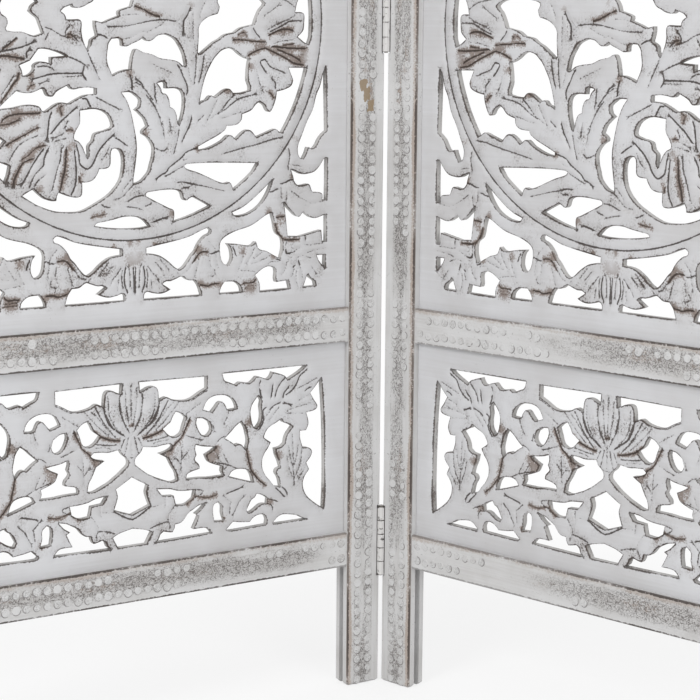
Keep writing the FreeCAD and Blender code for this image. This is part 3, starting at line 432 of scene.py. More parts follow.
# %% Cut lines inside the ring
SCROLL_CUTS = [
    ("m", [(-780, -550), (-740, -555), (-700, -565), (-640, -580), (-580, -592), (-520, -605),
           (-470, -617)]),
    ("m", [(-460, -790), (-410, -777), (-360, -765), (-300, -753), (-260, -743), (-230, -742)]),
    ("m", [(-280, -770), (-255, -768)]),
    ("s", [(-322, -588), (-300, -594), (-270, -605), (-250, -625), (-230, -640), (-200, -660),
           (-180, -675), (-165, -695), (-140, -705), (-120, -720)]), ("t", [(-285, -632), (-260, -640)]),
    ("m", [(-250, -672), (-220, -685), (-190, -700), (-165, -711)]),
    ("s", [(-300, -450), (-285, -490), (-265, -525), (-250, -555)]), ("m", [(-360, -440), (-335, -460)]),
    ("m", [(-235, -500), (-225, -550), (-210, -600)]), ("t", [(-185, -450), (-190, -500)]),
    ("t", [(-150, -460), (-155, -520)]), ("m", [(-170, -585), (-155, -595), (-130, -590), (-115, -582)]),
    ("t", [(5, -748), (30, -770), (60, -800), (100, -810)]), ("t", [(12, -720), (35, -745), (55, -770)]),
    ("m", [(-60, -796), (-30, -797), (0, -805), (30, -820)]), ("m", [(-80, -840), (-60, -845)]),
    ("m", [(-40, -860), (0, -850), (30, -845)]), ("s", [(-155, -905), (-135, -910), (-110, -918)]),
    ("s", [(105, -520), (150, -560), (180, -600), (200, -640), (225, -665), (245, -660), (265, -640),
           (270, -600), (280, -560)]), ("t", [(120, -570), (135, -600), (155, -622)]),
    ("s", [(40, -560), (60, -545), (85, -530)]), ("mb", [(268, -700), (266, -720)]),
    ("s", [(290, -580), (285, -650), (285, -710), (295, -750), (310, -778)]),
    ("sb", [(330, -580), (335, -630), (340, -670), (352, -710), (360, -750)]),
    ("m", [(355, -575), (360, -620), (375, -660), (390, -710), (400, -750)]),
    ("s", [(420, -575), (435, -605), (440, -640)]),
    ("s", [(440, -570), (465, -600), (500, -650), (530, -700), (540, -715)]),
    ("mb", [(440, -555), (475, -565), (500, -585), (520, -600), (540, -610)]),
    ("sb", [(490, -610), (520, -620), (540, -630), (560, -660), (580, -700), (585, -720)]),
    ("m", [(450, -650), (480, -680), (500, -710), (510, -735)]),
    ("m", [(440, -690), (470, -710), (485, -732)]), ("mb", [(300, -490), (315, -487), (330, -490)]),
    ("t", [(335, -500), (360, -510), (385, -520)]), ("t", [(330, -525), (380, -535)]),
    ("s", [(280, -390), (300, -405), (330, -430), (360, -455), (400, -500)]),
    ("s", [(400, -412), (408, -430), (413, -460), (420, -515)]), ("m", [(325, -455), (335, -480)]),
    ("sb", [(465, -475), (500, -490), (525, -505)]),
    ("sb", [(540, -510), (570, -525), (600, -540), (612, -548)]),
    ("m", [(470, -510), (510, -525), (550, -545), (580, -580), (600, -610)]),
    ("mb", [(560, -440), (600, -455), (640, -460)]), ("m", [(160, -830), (145, -840), (125, -845)]),
    ("mb", [(210, -885), (180, -880), (150, -875)]), ("t", [(-760, 70), (-730, 50), (-690, 25)]),
    ("m", [(-890, 0), (-860, 0), (-820, -5), (-780, -25), (-720, -50)]),
    ("t", [(-850, 25), (-820, 8), (-790, -3), (-750, -18), (-710, -40)]),
    ("sb", [(-840, -45), (-810, -40), (-770, -45), (-730, -60), (-715, -66)]),
    ("t", [(-840, -90), (-780, -95), (-730, -108)]), ("mb", [(-840, -110), (-790, -115)]),
    ("sb", [(-910, -130), (-860, -130), (-810, -128), (-730, -120)]),
    ("sb", [(-880, -185), (-840, -165), (-800, -150), (-760, -135)]),
    ("sb", [(-900, -208), (-850, -200), (-820, -185), (-780, -165), (-710, -135)]),
    ("m", [(-800, -245), (-760, -230), (-720, -215), (-695, -185)]),
    ("s", [(-690, -180), (-665, -190), (-680, -220), (-695, -240)]),
    ("m", [(-730, -275), (-745, -290), (-745, -315)]), ("mb", [(-735, -360), (-730, -350), (-715, -335)]),
    ("t", [(-650, -250), (-660, -290), (-680, -330)]), ("sb", [(-690, -128), (-640, -142), (-600, -162)]),
    ("sb", [(-690, -100), (-650, -97), (-610, -95), (-570, -90), (-520, -90)]),
    ("s", [(-660, -75), (-640, -55), (-628, -35)]), ("mb", [(-585, -60), (-575, -55), (-550, -65)]),
    ("m", [(-630, -345), (-560, -360), (-520, -380), (-480, -410), (-440, -430)]),
    ("m", [(-520, -348), (-490, -375), (-460, -410)]),
    ("t", [(-560, -425), (-530, -432), (-500, -442), (-460, -450)]),
    ("t", [(-370, 80), (-355, 50), (-345, 20)]),
    ("s", [(-290, 40), (-280, 20), (-265, 0), (-260, -20), (-260, -50)]),
    ("m", [(-210, -5), (-180, 0), (-130, 0), (-90, -5), (-40, -15), (20, -27), (120, -32)]),
    ("sb", [(-140, 15), (-115, 20), (-90, 30), (-60, 45), (-20, 60)]), ("t", [(-20, 25), (45, 20)]),
    ("t", [(-150, -20), (-120, -35), (-75, -55)]), ("t", [(-60, -50), (-20, -65), (10, -80), (40, -85)]),
    ("t", [(-310, 30), (-310, -80)]), ("m", [(-365, -170), (-360, -200), (-350, -250), (-340, -280)]),
    ("m", [(-325, -160), (-325, -200), (-320, -250), (-315, -285)]),
    ("s", [(-230, -205), (-245, -225), (-255, -250), (-275, -290), (-280, -310), (-278, -330)]),
    ("t", [(-285, -220), (-290, -250), (-300, -280)]), ("t", [(-90, -190), (-130, -210), (-200, -240)]),
    ("s", [(-25, -270), (-45, -285), (-55, -300)]), ("m", [(-20, -280), (-60, -310), (-100, -360)]),
    ("m", [(-110, -345), (-120, -365)]), ("m", [(-110, -290), (-115, -345)]),
    ("m", [(-70, -340), (-100, -375), (-120, -410), (-135, -440), (-145, -480)]),
    ("s", [(10, -250), (3, -280), (3, -310)]), ("t", [(-430, -372), (-415, -400), (-380, -460)]),
    ("t", [(-480, -390), (-460, -410), (-400, -450)]), ("s", [(165, -65), (140, -72), (125, -80)]),
    ("m", [(215, -150), (205, -175), (190, -205), (165, -260)]),
    ("m", [(305, -30), (320, -45), (325, -65), (300, -65), (275, -85)]),
    ("m", [(418, -35), (390, -45), (345, -70), (310, -80)]), ("m", [(408, -65), (420, -85)]),
    ("s", [(480, -100), (510, -113), (550, -125), (600, -135), (630, -140)]),
    ("t", [(511, -80), (512, -105)]), ("t", [(565, -68), (580, -85), (620, -120)]),
    ("sb", [(560, -85), (580, -100), (620, -130)]), ("s", [(500, -135), (511, -145), (510, -165)]),
    ("sb", [(530, -172), (570, -165), (600, -160), (630, -160)]),
    ("m", [(230, -200), (260, -185), (290, -172), (310, -165)]),
    ("s", [(235, -200), (240, -220), (245, -235), (240, -250), (230, -265)]),
    ("s", [(250, -237), (300, -237), (360, -237), (400, -240), (440, -250), (480, -260)]),
    ("t", [(250, -250), (340, -252)]), ("m", [(390, -215), (410, -207), (430, -205), (460, -207)]),
    ("m", [(420, -270), (450, -280)]), ("mb", [(480, -285), (495, -290), (505, -305)]),
    ("sb", [(550, -235), (556, -260), (575, -280), (600, -315), (635, -360)]),
    ("m", [(575, -250), (600, -285), (630, -325)]),
    ("m", [(180, -345), (140, -365), (100, -385), (70, -400)]),
    ("s", [(245, -350), (230, -350), (220, -365), (210, -385)]),
    ("mb", [(345, -382), (360, -385), (355, -400), (350, -420)]),
    ("sb", [(455, -410), (500, -412), (550, -412), (600, -420), (630, -438)]),
    ("m", [(660, -120), (720, -110), (800, -95), (860, -60)]),
    ("m", [(660, -100), (720, -75), (790, -40), (850, 0)]), ("m", [(655, -80), (700, -40), (740, 10)]),
    ("m", [(660, -150), (700, -165), (760, -175)]),
    ("s", [(640, -230), (650, -270), (670, -320), (690, -370)]),
    ("t", [(680, -330), (760, -350), (850, -340)]), ("t", [(700, -370), (770, -385), (840, -370)]),
    ("m", [(690, -480), (720, -540), (740, -580)]),
]
SCROLL_WEAR = [(-65, -510, 5), (-195, -885, 5), (-905, -140, 6), (-900, -180, 5), (-850, -280, 4),
               (-620, -215, 6), (-305, 70, 4), (15, -240, 5), (490, -245, 4), (490, -292, 4),
               (560, -410, 9), (355, -395, 5), (300, -560, 5), (-330, -590, 5), (275, -500, 5),
               (-715, -435, 4), (60, -90, 4), (-490, -320, 5), (500, -590, 6), (460, -745, 4)]
print(len(SCROLL_CUTS), "cut lines inside the ring")

# %% [markdown]
# ## From drawing to smooth line
# A hole's line passes through its points as a smooth curve, and turns sharply only at its
# corners. Each stretch is a cubic whose slopes come from the neighbouring points.

# %% Smooth lines
OUTLINE_STEP = 2.3  # between a hole's points on the mesh
FINE_STEP = 0.5  # between the points that distances are measured to


def smooth_line(points, corners, closed):
    """A fine line through points, with a mark at every corner."""
    count = len(points)
    line, marks = [], []
    for i in range(count if closed else count - 1):
        here, there = points[i], points[(i + 1) % count]
        before, after = points[i - 1], points[(i + 2) % count]
        chord = max(np.linalg.norm(there - here), 1e-6)
        slope_in = slope_out = there - here
        if not corners[i]:
            slope_in = (there - before) * chord / (chord + np.linalg.norm(here - before))
        if not corners[(i + 1) % count]:
            slope_out = (after - here) * chord / (chord + np.linalg.norm(after - there))
        steps = max(int(round(chord / FINE_STEP)), 2)
        for k in range(steps):
            t = k / steps
            line.append((2 * t**3 - 3 * t**2 + 1) * here + (t**3 - 2 * t**2 + t) * slope_in
                        + (3 * t**2 - 2 * t**3) * there + (t**3 - t**2) * slope_out)
            marks.append(bool(corners[i]) and k == 0)
    if not closed:
        line.append(points[-1])
        marks.append(True)
    return np.array(line), np.array(marks)


def spread(line, marks, step, closed):
    """Fewer points along a fine line, evenly spaced between its marked corners."""
    count = len(line)
    stops = [i for i in range(count) if marks[i]] or [0]
    if not closed:
        stops = sorted({0, count - 1, *stops})
    chosen = []
    ends = stops[1:] + ([stops[0] + count] if closed else [])
    for start, end in zip(stops, ends):
        index = np.arange(start, end + 1) % count
        run = line[index]
        lengths = np.concatenate([[0], np.cumsum(np.linalg.norm(np.diff(run, axis=0), axis=1))])
        pieces = max(int(round(lengths[-1] / step)), 1)
        at = np.linspace(0, lengths[-1], pieces + 1)[:-1]
        chosen.append(np.stack([np.interp(at, lengths, run[:, k]) for k in (0, 1)], axis=1))
    if not closed:
        chosen.append(line[-1:])
    return np.concatenate(chosen)


def hole(outline, unit_x, unit_y, start_y, low_radius=0.0, high_radius=1e6):
    """A hole's line in millimetres, counterclockwise, kept between two circles about the middle."""
    points = np.array([(p[0] * unit_x / 1000, start_y + p[1] * unit_y / 1000) for p in outline])
    corners = [len(p) > 2 for p in outline]
    line, marks = smooth_line(points, corners, True)
    radius = np.linalg.norm(line, axis=1)
    kept = np.clip(radius, low_radius, high_radius)
    line = line * (kept / np.maximum(radius, 1e-9))[:, None]
    held = kept != radius
    marks = marks & ~(held & np.roll(held, 1) & np.roll(held, -1))
    marks = marks | (held != np.roll(held, 1))
    area = np.sum(line[:, 0] * np.roll(line[:, 1], -1) - np.roll(line[:, 0], -1) * line[:, 1])
    if area < 0:
        line, marks = line[::-1], marks[::-1]
    return line, marks


def cut(points, unit_x, unit_y, start_y):
    """A cut line's fine points in millimetres."""
    places = np.array([(x * unit_x / 1000, start_y + y * unit_y / 1000) for x, y in points])
    ends = [i in (0, len(points) - 1) for i in range(len(points))]
    return smooth_line(places, ends, False)[0]


first_line, _ = hole(LOTUS_HALF[0], OPENING_HALF_WIDTH, LOTUS_HEIGHT, 0)
print("the first hole's line has", len(first_line), "fine points")

# %% [markdown]
# ## The two drawings, mirrored and turned
# A drawing is a set of hole lines, cut lines and worn spots about the middle of its board.

# %% Gather the drawings
CUT_WEIGHT = {"t": 0.40, "m": 0.65, "s": 1.0}
MIDDLE_CUTS = -80  # the scroll's cut lines above this aren't turned to the upper half
RING_LINE_POINTS = 2400


def new_drawing(name, height):
    """A board's drawing with nothing on it yet."""
    return {"name": name, "half_height": height / 2, "holes": [], "cuts": [], "spots": []}


def put_part(drawing, units, start_y, outlines, cuts=(), wear=(), **limits):
    """Puts a part of a drawing on its board; a unit below zero mirrors that axis."""
    unit_x, unit_y = units
    for outline in outlines:
        drawing["holes"].append(hole(outline, unit_x, unit_y, start_y, **limits))
    for kind, points in cuts:
        drawing["cuts"].append((kind, cut(points, unit_x, unit_y, start_y)))
    for x, y, reach in wear:
        drawing["spots"].append((x * unit_x / 1000, start_y + y * unit_y / 1000, reach))


def lotus_drawing():
    """The low board: half a drawing and its mirror, about the board's middle."""
    drawing = new_drawing("lotus", LOTUS_HEIGHT)
    put_part(drawing, (OPENING_HALF_WIDTH, LOTUS_HEIGHT), -LOTUS_HEIGHT / 2, LOTUS_MIDDLE)
    for mirror in (-1, 1):
        put_part(drawing, (mirror * OPENING_HALF_WIDTH, LOTUS_HEIGHT), -LOTUS_HEIGHT / 2,
                 LOTUS_HALF, LOTUS_CUTS, LOTUS_WEAR)
    return drawing


def ring_drawing():
    """The tall board: four corners, and a scroll in a ring."""
    drawing = new_drawing("ring", RING_HEIGHT)
    half = RING_HEIGHT / 2
    for mirror in (-1, 1):
        for end in (-1, 1):
            put_part(drawing, (mirror * OPENING_HALF_WIDTH, -end * half), end * half,
                     CORNER, CORNER_CUTS, CORNER_WEAR, low_radius=RING_OUTSIDE)
    low_cuts = [(kind, points) for kind, points in SCROLL_CUTS
                if np.mean([y for x, y in points]) < MIDDLE_CUTS]
    for turn, cuts in ((-1, low_cuts), (1, SCROLL_CUTS)):
        put_part(drawing, (turn * RING_RADIUS, turn * RING_RADIUS), 0,
                 SCROLL, cuts, SCROLL_WEAR, high_radius=RING_INSIDE)
    put_part(drawing, (RING_RADIUS, RING_RADIUS), 0, CROSSING, high_radius=RING_INSIDE)
    # The line round the ring is a deep cut, and isn't quite closed.
    angles = np.linspace(0, 2 * math.pi, RING_LINE_POINTS)[:-4]
    drawing["cuts"].append(("s", RING_RADIUS * np.stack([np.cos(angles), np.sin(angles)], axis=1)))
    return drawing


drawings = {"lotus": lotus_drawing(), "ring": ring_drawing()}
for name, drawing in drawings.items():
    print(name, "board:", len(drawing["holes"]), "holes and", len(drawing["cuts"]), "cut lines")

# %% [markdown]
# ## Carving a board
# A carved face could be sculpted or displaced, but a drawing of lines can be meshed straight
# from its lines: the points of every line, two lines set in from each edge and a loose grid
# between them are joined by a triangulation that keeps the hole edges. The height of each point
# then follows how far it lies from an edge or a cut, so the edges are rounded, the cuts are
# V-shaped and the petals between them swell a little.

# %% Distances and insides
def tree_of(points):
    """A search tree over flat points."""
    tree = kdtree.KDTree(len(points))
    for i, (x, y) in enumerate(points):
        tree.insert((x, y, 0), i)
    tree.balance()
    return tree


def nearest(tree, points):
    """The distance to the tree's nearest point, and its number, for each point."""
    found = [tree.find((x, y, 0)) for x, y in points]
    return np.array([f[2] for f in found]), np.array([f[1] for f in found])


def inside(points, loop):
    """Which points lie inside a closed line."""
    result = np.zeros(len(points), bool)
    low, high = loop.min(0), loop.max(0)
    near = np.where(((points > low) & (points < high)).all(1))[0]
    if len(near) == 0:
        return result
    x, y = points[near].T
    ax, ay = loop.T
    bx, by = np.roll(loop, -1, axis=0).T
    crosses = (ay > y[:, None]) != (by > y[:, None])
    rise = np.where(by == ay, 1.0, by - ay)
    at = (bx - ax) * (y[:, None] - ay) / rise + ax
    result[near] = (crosses & (x[:, None] < at)).sum(1) % 2 == 1
    return result


def in_any(points, loops):
    """Which points lie in any of the closed lines."""
    found = np.zeros(len(points), bool)
    for loop in loops:
        found |= inside(points, loop)
    return found


board_middle = np.zeros((1, 2))
for name, drawing in drawings.items():
    gap, _ = nearest(tree_of(np.concatenate([line for line, marks in drawing["holes"]])), board_middle)
    print("nearest hole to the middle of the", name, "board:", round(float(gap[0]), 1), "mm")

# %% The loose points of a face
TONGUE_SIDE = 7.8  # how far a board reaches into the posts' grooves
TONGUE_END = 5.8  # and into the bars' grooves
CUT_HALF_WIDTH = 1.25
CUT_STEP = 2.2  # between a cut line's points on the mesh
CUT_CLEAR = 0.8  # a cut's points keep this far from a hole
ROW_CLEAR = 0.7  # an edge's inner rows keep this far from a cut
SHARP_SHARE = 0.82  # an inner row's point goes if it is nearer to a hole than this share says
GROOVE_STEP = 6.0  # between the points along the posts' and bars' edges
GROOVE_ROWS = (0, 1.5)


def set_in(loops, distance, tree, step):
    """Points at a distance outside each hole's line that aren't nearer to another part of it."""
    rows = []
    for line, marks in loops:
        points = spread(line, marks, step, True)
        along = np.roll(points, -1, axis=0) - np.roll(points, 1, axis=0)
        along /= np.maximum(np.linalg.norm(along, axis=1), 1e-9)[:, None]
        rows.append(points + distance * np.stack([along[:, 1], -along[:, 0]], axis=1))
    rows = np.concatenate(rows)
    gap, _ = nearest(tree, rows)
    return rows[gap > distance * SHARP_SHARE]


def cut_rows(cuts, edge_tree):
    """Points along the cuts' middles and along both their sides."""
    rows = []
    for kind, line in cuts:
        middle = spread(line, np.zeros(len(line), bool), CUT_STEP, False)
        along = np.gradient(middle, axis=0)
        along /= np.maximum(np.linalg.norm(along, axis=1), 1e-9)[:, None]
        across = np.stack([along[:, 1], -along[:, 0]], axis=1)
        rows += [middle, middle + CUT_HALF_WIDTH * across, middle - CUT_HALF_WIDTH * across]
    rows = np.concatenate(rows)
    gap, _ = nearest(edge_tree, rows)
    return rows[gap > CUT_CLEAR]


def face_points(drawing, loops, edge_tree, grid_step, insets, with_cuts):
    """The loose points of one face of a board: cuts, rows set in from the holes, and a grid."""
    wide, tall = SIGHT_HALF_WIDTH + TONGUE_SIDE, drawing["half_height"] + TONGUE_END
    groups = [cut_rows(drawing["cuts"], edge_tree)] if with_cuts else []
    for distance in insets:
        rows = set_in(drawing["holes"], distance, edge_tree, OUTLINE_STEP)
        if groups:
            gap, _ = nearest(tree_of(np.concatenate(groups)), rows)
            rows = rows[gap > ROW_CLEAR]
        groups.append(rows)
    across = np.arange(-wide + grid_step / 2, wide, grid_step)
    rising = np.arange(-tall + grid_step / 2, tall, grid_step)
    grid = np.array([(x + (j % 2) * grid_step / 2, z) for j, z in enumerate(rising) for x in across])
    grid = grid[np.abs(grid[:, 0]) < wide - 1]
    gap, _ = nearest(edge_tree, grid)
    near, _ = nearest(tree_of(np.concatenate(groups)), grid)
    groups.append(grid[(gap > grid_step * 0.5) & (near > grid_step * 0.45)])
    for x in (-SIGHT_HALF_WIDTH, SIGHT_HALF_WIDTH):
        for offset in GROOVE_ROWS:
            z = np.arange(-tall + 4, tall - 3, GROOVE_STEP)
            groups.append(np.stack([np.full(len(z), x - math.copysign(offset, x)), z], axis=1))
    for z in (-drawing["half_height"], drawing["half_height"]):
        for offset in GROOVE_ROWS:
            x = np.arange(-wide + 4, wide - 3, GROOVE_STEP)
            groups.append(np.stack([x, np.full(len(x), z - math.copysign(offset, z))], axis=1))
    points = np.concatenate(groups)
    return points[~in_any(points, loops)]


print("a board is", 2 * (SIGHT_HALF_WIDTH + TONGUE_SIDE), "mm wide with its tongues")

# %% Triangles between the lines
def triangulate(loops, loose, wide, tall):
    """Triangles between closed lines in a rectangle, with the holes left out."""
    corners = np.array([(-wide, -tall), (wide, -tall), (wide, tall), (-wide, tall)])
    points, edges, start = [corners], [(0, 1), (1, 2), (2, 3), (3, 0)], 4
    for loop in loops:
        points.append(loop)
        edges += [(start + i, start + (i + 1) % len(loop)) for i in range(len(loop))]
        start += len(loop)
    points.append(loose)
    flat = [Vector(p) for p in np.concatenate(points)]
    made = geometry.delaunay_2d_cdt(flat, edges, [], 1, 1e-4, False)
    places = np.array([(v.x, v.y) for v in made[0]])
    triangles = np.array([f[:3] for f in made[2]])
    a, b, c = (places[triangles[:, k]] for k in (0, 1, 2))
    middle = (a + b + c) / 3
    turn = (b[:, 0] - a[:, 0]) * (c[:, 1] - a[:, 1]) - (b[:, 1] - a[:, 1]) * (c[:, 0] - a[:, 0])
    triangles[turn < 0] = triangles[turn < 0][:, ::-1]
    return places, triangles[~in_any(middle, loops) & (np.abs(turn) > 1e-6)]


square = np.array([(-1.0, -1.0), (1.0, -1.0), (1.0, 1.0), (-1.0, 1.0)])
print("a plate with a square hole has", len(triangulate([square], np.zeros((0, 2)), 2, 2)[1]), "triangles")

# %% [markdown]
# The board's walls join the two faces along every free edge. Four values are kept on the mesh for
# the finish: how near a point is to an edge, how deep it is in a cut, how worn it is, and whether
# it lies among the carving or on the plain margin. A fifth says whether a face is on the front, on
# the back or in a wall.

# %% Relief of a carved face
EDGE_ROUND = 0.75  # how far the edge of a hole is rounded down
EDGE_REACH = 1.7  # and over what width
CUT_DEPTH = 1.0
SWELL = 0.45  # how much lower the face lies beside an edge or a cut than between them
SWELL_REACH = 5.0
SIGHT_MARGIN = 0.5  # the carving stops this far from the posts and bars
BARE_REACH = 2.6  # how far the wash has worn off beside a bare cut
CARVED_REACH = 7.0  # how far from an edge or a cut the wash still looks as it does on carving
PLAIN_BORDER = 22.0  # the uncarved strip at a board's top and foot
BORDER_MARGIN = 0.3  # the plain borders begin this far beyond the holes
PLAIN_SHARE = 0.2  # how much of the carving's look is left on them


def falloff(distance, reach):
    """1 at no distance, and close to 0 beyond twice the reach."""
    return np.exp(-(distance / reach) ** 2)


def relief(drawing, front, edge_tree):
    """How far each point lies behind the board's front, and its four values for the finish."""
    cuts, half_height = drawing["cuts"], drawing["half_height"]
    cut_weights = np.concatenate([np.full(len(line), CUT_WEIGHT[kind[0]]) for kind, line in cuts])
    cut_bare = np.concatenate([np.full(len(line), float("b" in kind)) for kind, line in cuts])
    gap, _ = nearest(edge_tree, front)
    cut_gap, which = nearest(tree_of(np.concatenate([line for kind, line in cuts])), front)
    weight = cut_weights[which]
    edge = np.clip(1 - gap / EDGE_REACH, 0, 1)
    groove = np.clip(1 - cut_gap / CUT_HALF_WIDTH, 0, 1) * weight
    low = EDGE_ROUND * edge ** 2 + CUT_DEPTH * groove
    low += SWELL * falloff(np.minimum(gap / 0.8, cut_gap / weight), SWELL_REACH)
    x, z = np.abs(front).T
    low = np.where((x < SIGHT_HALF_WIDTH - SIGHT_MARGIN) & (z < half_height - SIGHT_MARGIN), low, 0)
    bare = cut_bare[which] * falloff(cut_gap, BARE_REACH)
    for spot_x, spot_z, reach in drawing["spots"]:
        bare = np.maximum(bare, falloff(np.hypot(front[:, 0] - spot_x, front[:, 1] - spot_z), reach))
    carved = falloff(np.minimum(gap, cut_gap), CARVED_REACH)
    plain = (x > OPENING_HALF_WIDTH + BORDER_MARGIN) | (z > half_height - PLAIN_BORDER + BORDER_MARGIN)
    return low, edge, groove, bare, np.where(plain, carved * PLAIN_SHARE, carved)


print("edges rounded by", EDGE_ROUND, "mm and cuts up to", CUT_DEPTH, "mm deep")

# %% Carve one board of each kind
FRONT_GRID, FRONT_ROWS = 5.0, (0.7, 1.9)
BACK_GRID, BACK_ROWS = 14.0, (1.3,)
BACK_EDGE = 0.45  # how much of an edge's look the plain back keeps
WALL_EDGE = 0.2
WALL_STEP = 1.2  # the walls' first row lies this far behind the front


def rim_of(faces):
    """The edges that only one face uses, each from its first point to its second."""
    sides = np.concatenate([faces[:, [0, 1]], faces[:, [1, 2]], faces[:, [2, 0]]])
    sides = dict.fromkeys(tuple(pair) for pair in sides.tolist())
    return [(a, b) for a, b in sides if (b, a) not in sides]


def carve(drawing):
    """The solid of a carved board about its middle: points, faces and the values for its finish."""
    loops = [spread(line, marks, OUTLINE_STEP, True) for line, marks in drawing["holes"]]
    edge_tree = tree_of(np.concatenate([line for line, marks in drawing["holes"]]))
    wide, tall = SIGHT_HALF_WIDTH + TONGUE_SIDE, drawing["half_height"] + TONGUE_END
    loose = face_points(drawing, loops, edge_tree, FRONT_GRID, FRONT_ROWS, True)
    front, front_faces = triangulate(loops, loose, wide, tall)
    loose = face_points(drawing, loops, edge_tree, BACK_GRID, BACK_ROWS, False)
    back, back_faces = triangulate(loops, loose, wide, tall)
    low, edge, groove, bare, carved = relief(drawing, front, edge_tree)

    rim = rim_of(front_faces)
    rim_points = sorted({a for a, b in rim} | {b for a, b in rim})
    rim_gap, back_match = nearest(tree_of(back), front[rim_points])
    print(drawing["name"], "rim match", round(float(rim_gap.max()), 4), "mm")
    collar_start = len(front) + len(back)
    collar = {a: collar_start + i for i, a in enumerate(rim_points)}
    behind = {a: len(front) + int(back_match[i]) for i, a in enumerate(rim_points)}
    walls = []
    for a, b in rim:
        walls.append((b, a, collar[a], collar[b]))
        walls.append((collar[b], collar[a], behind[a], behind[b]))

    back_gap, _ = nearest(edge_tree, back)
    flat = np.concatenate([front, back, front[rim_points]])
    depth = np.concatenate([BOARD_FRONT + low, np.full(len(back), BOARD_BACK),
                            BOARD_FRONT + low[rim_points] + WALL_STEP])
    triangles = front_faces.tolist() + (back_faces[:, ::-1] + len(front)).tolist()
    back_edge = np.clip(1 - back_gap / BACK_ROWS[0], 0, 1) * BACK_EDGE
    unmarked, rim_unmarked = np.zeros(len(back)), np.zeros(len(rim_points))
    return {
        "points": np.stack([flat[:, 0], depth, flat[:, 1]], axis=1),
        "faces": [tuple(f) for f in triangles] + walls,
        "side": [0.0] * len(front_faces) + [0.5] * len(back_faces) + [1.0] * len(walls),
        "edge": np.concatenate([edge, back_edge, rim_unmarked + WALL_EDGE]),
        "groove": np.concatenate([groove, unmarked, rim_unmarked]),
        "bare": np.concatenate([bare, unmarked, bare[rim_points]]),
        "carved": np.concatenate([carved, unmarked, rim_unmarked + 1]),
    }


carvings = {name: carve(drawing) for name, drawing in drawings.items()}
for name, carving in carvings.items():
    print(name, "board:", len(carving["points"]), "points,", len(carving["faces"]), "faces")

# %% [markdown]
# ## Setting the boards into the panels
# Each carving is used four times: mirrored on the left panel, and with the low board turned
# upside down at the top of the panel. A mirrored mesh is inside out, so its faces are reversed.
# The boards were carved by hand, so no two are quite alike: the drawing sits a millimetre or two
# further along or lower on one panel than on the other, and the two halves of a lotus stand a
# little further apart.

# %% The eight boards
CARVING_MOVE = {(-1, "lotus"): (1.8, -2.3), (-1, "ring"): (1.8, -0.9),
                (1, "lotus"): (-0.6, -3.2), (1, "ring"): (-0.6, -1.8)}
LOTUS_SPREAD = {-1: (0.0, 9.5), 1: (3.0, 6.5)}  # how far the near and the far half move outwards
SPREAD_START = 16.0  # within this of the board's middle, one half's move passes into the other's
HELD_BORDER = 15.0  # the drawing's moves fade out over this, so that the board's rim stays
CREASE = 48  # degrees between two faces whose shared edge is sharp
ROWS = (("lower_lotus", "lotus", False), ("lower_ring", "ring", False),
        ("upper_ring", "ring", False), ("upper_lotus", "lotus", True))


def board(name, side, kind, upside_down):
    """One carved board in its place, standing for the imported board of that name."""
    carving = carvings[kind]
    middle, half_height = heights(name)
    points = carving["points"].copy()
    margin = np.minimum(SIGHT_HALF_WIDTH - np.abs(points[:, 0]),
                        half_height - TONGUE_END - np.abs(points[:, 2]))
    moved = np.clip(margin / HELD_BORDER, 0, 1)
    move_along, move_up = CARVING_MOVE[(side, kind)]
    points += moved[:, None] * (move_along, 0, move_up)
    if kind == "lotus":
        near, far = LOTUS_SPREAD[side]
        points[:, 0] += moved * np.interp(
            points[:, 0], (-OPENING_HALF_WIDTH, -SPREAD_START, SPREAD_START, OPENING_HALF_WIDTH),
            (0, -near, far, 0))
    if upside_down:
        points[:, 2] *= -1
    points += (PANEL_MIDDLE, 0, middle)
    flipped = (side < 0) != upside_down
    faces = [f[::-1] for f in carving["faces"]] if flipped else carving["faces"]
    mesh = bpy.data.meshes.new(name + "_carved")
    mesh.from_pydata(to_row(points, side).tolist(), [], faces)
    mesh.update()
    for value in ("edge", "groove", "bare", "carved", "side"):
        kept = mesh.attributes.new(value, "FLOAT", "FACE" if value == "side" else "POINT")
        kept.data.foreach_set("value", np.array(carving[value], np.float32))
    mesh.polygons.foreach_set("use_smooth", np.ones(len(mesh.polygons), bool))
    mesh.set_sharp_from_angle(angle=math.radians(CREASE))
    piece = new_object(name + "_carved", mesh)
    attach(piece, "right_panel" if side > 0 else "left_panel")
    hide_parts(name)
    return piece


boards = {side: [board(side_name + "_" + place + "_board", side, kind, upside_down)
                 for place, kind, upside_down in ROWS] for side, side_name in SIDES}
print(sum(len(pieces) for pieces in boards.values()), "carved boards")

# %% [markdown]
# ## Writing shader maths
# A material's maths reads best as plain sums. Value wraps one socket, and each operator on it
# adds the Math node that does the sum. Finish holds a material's nodes and adds the others.

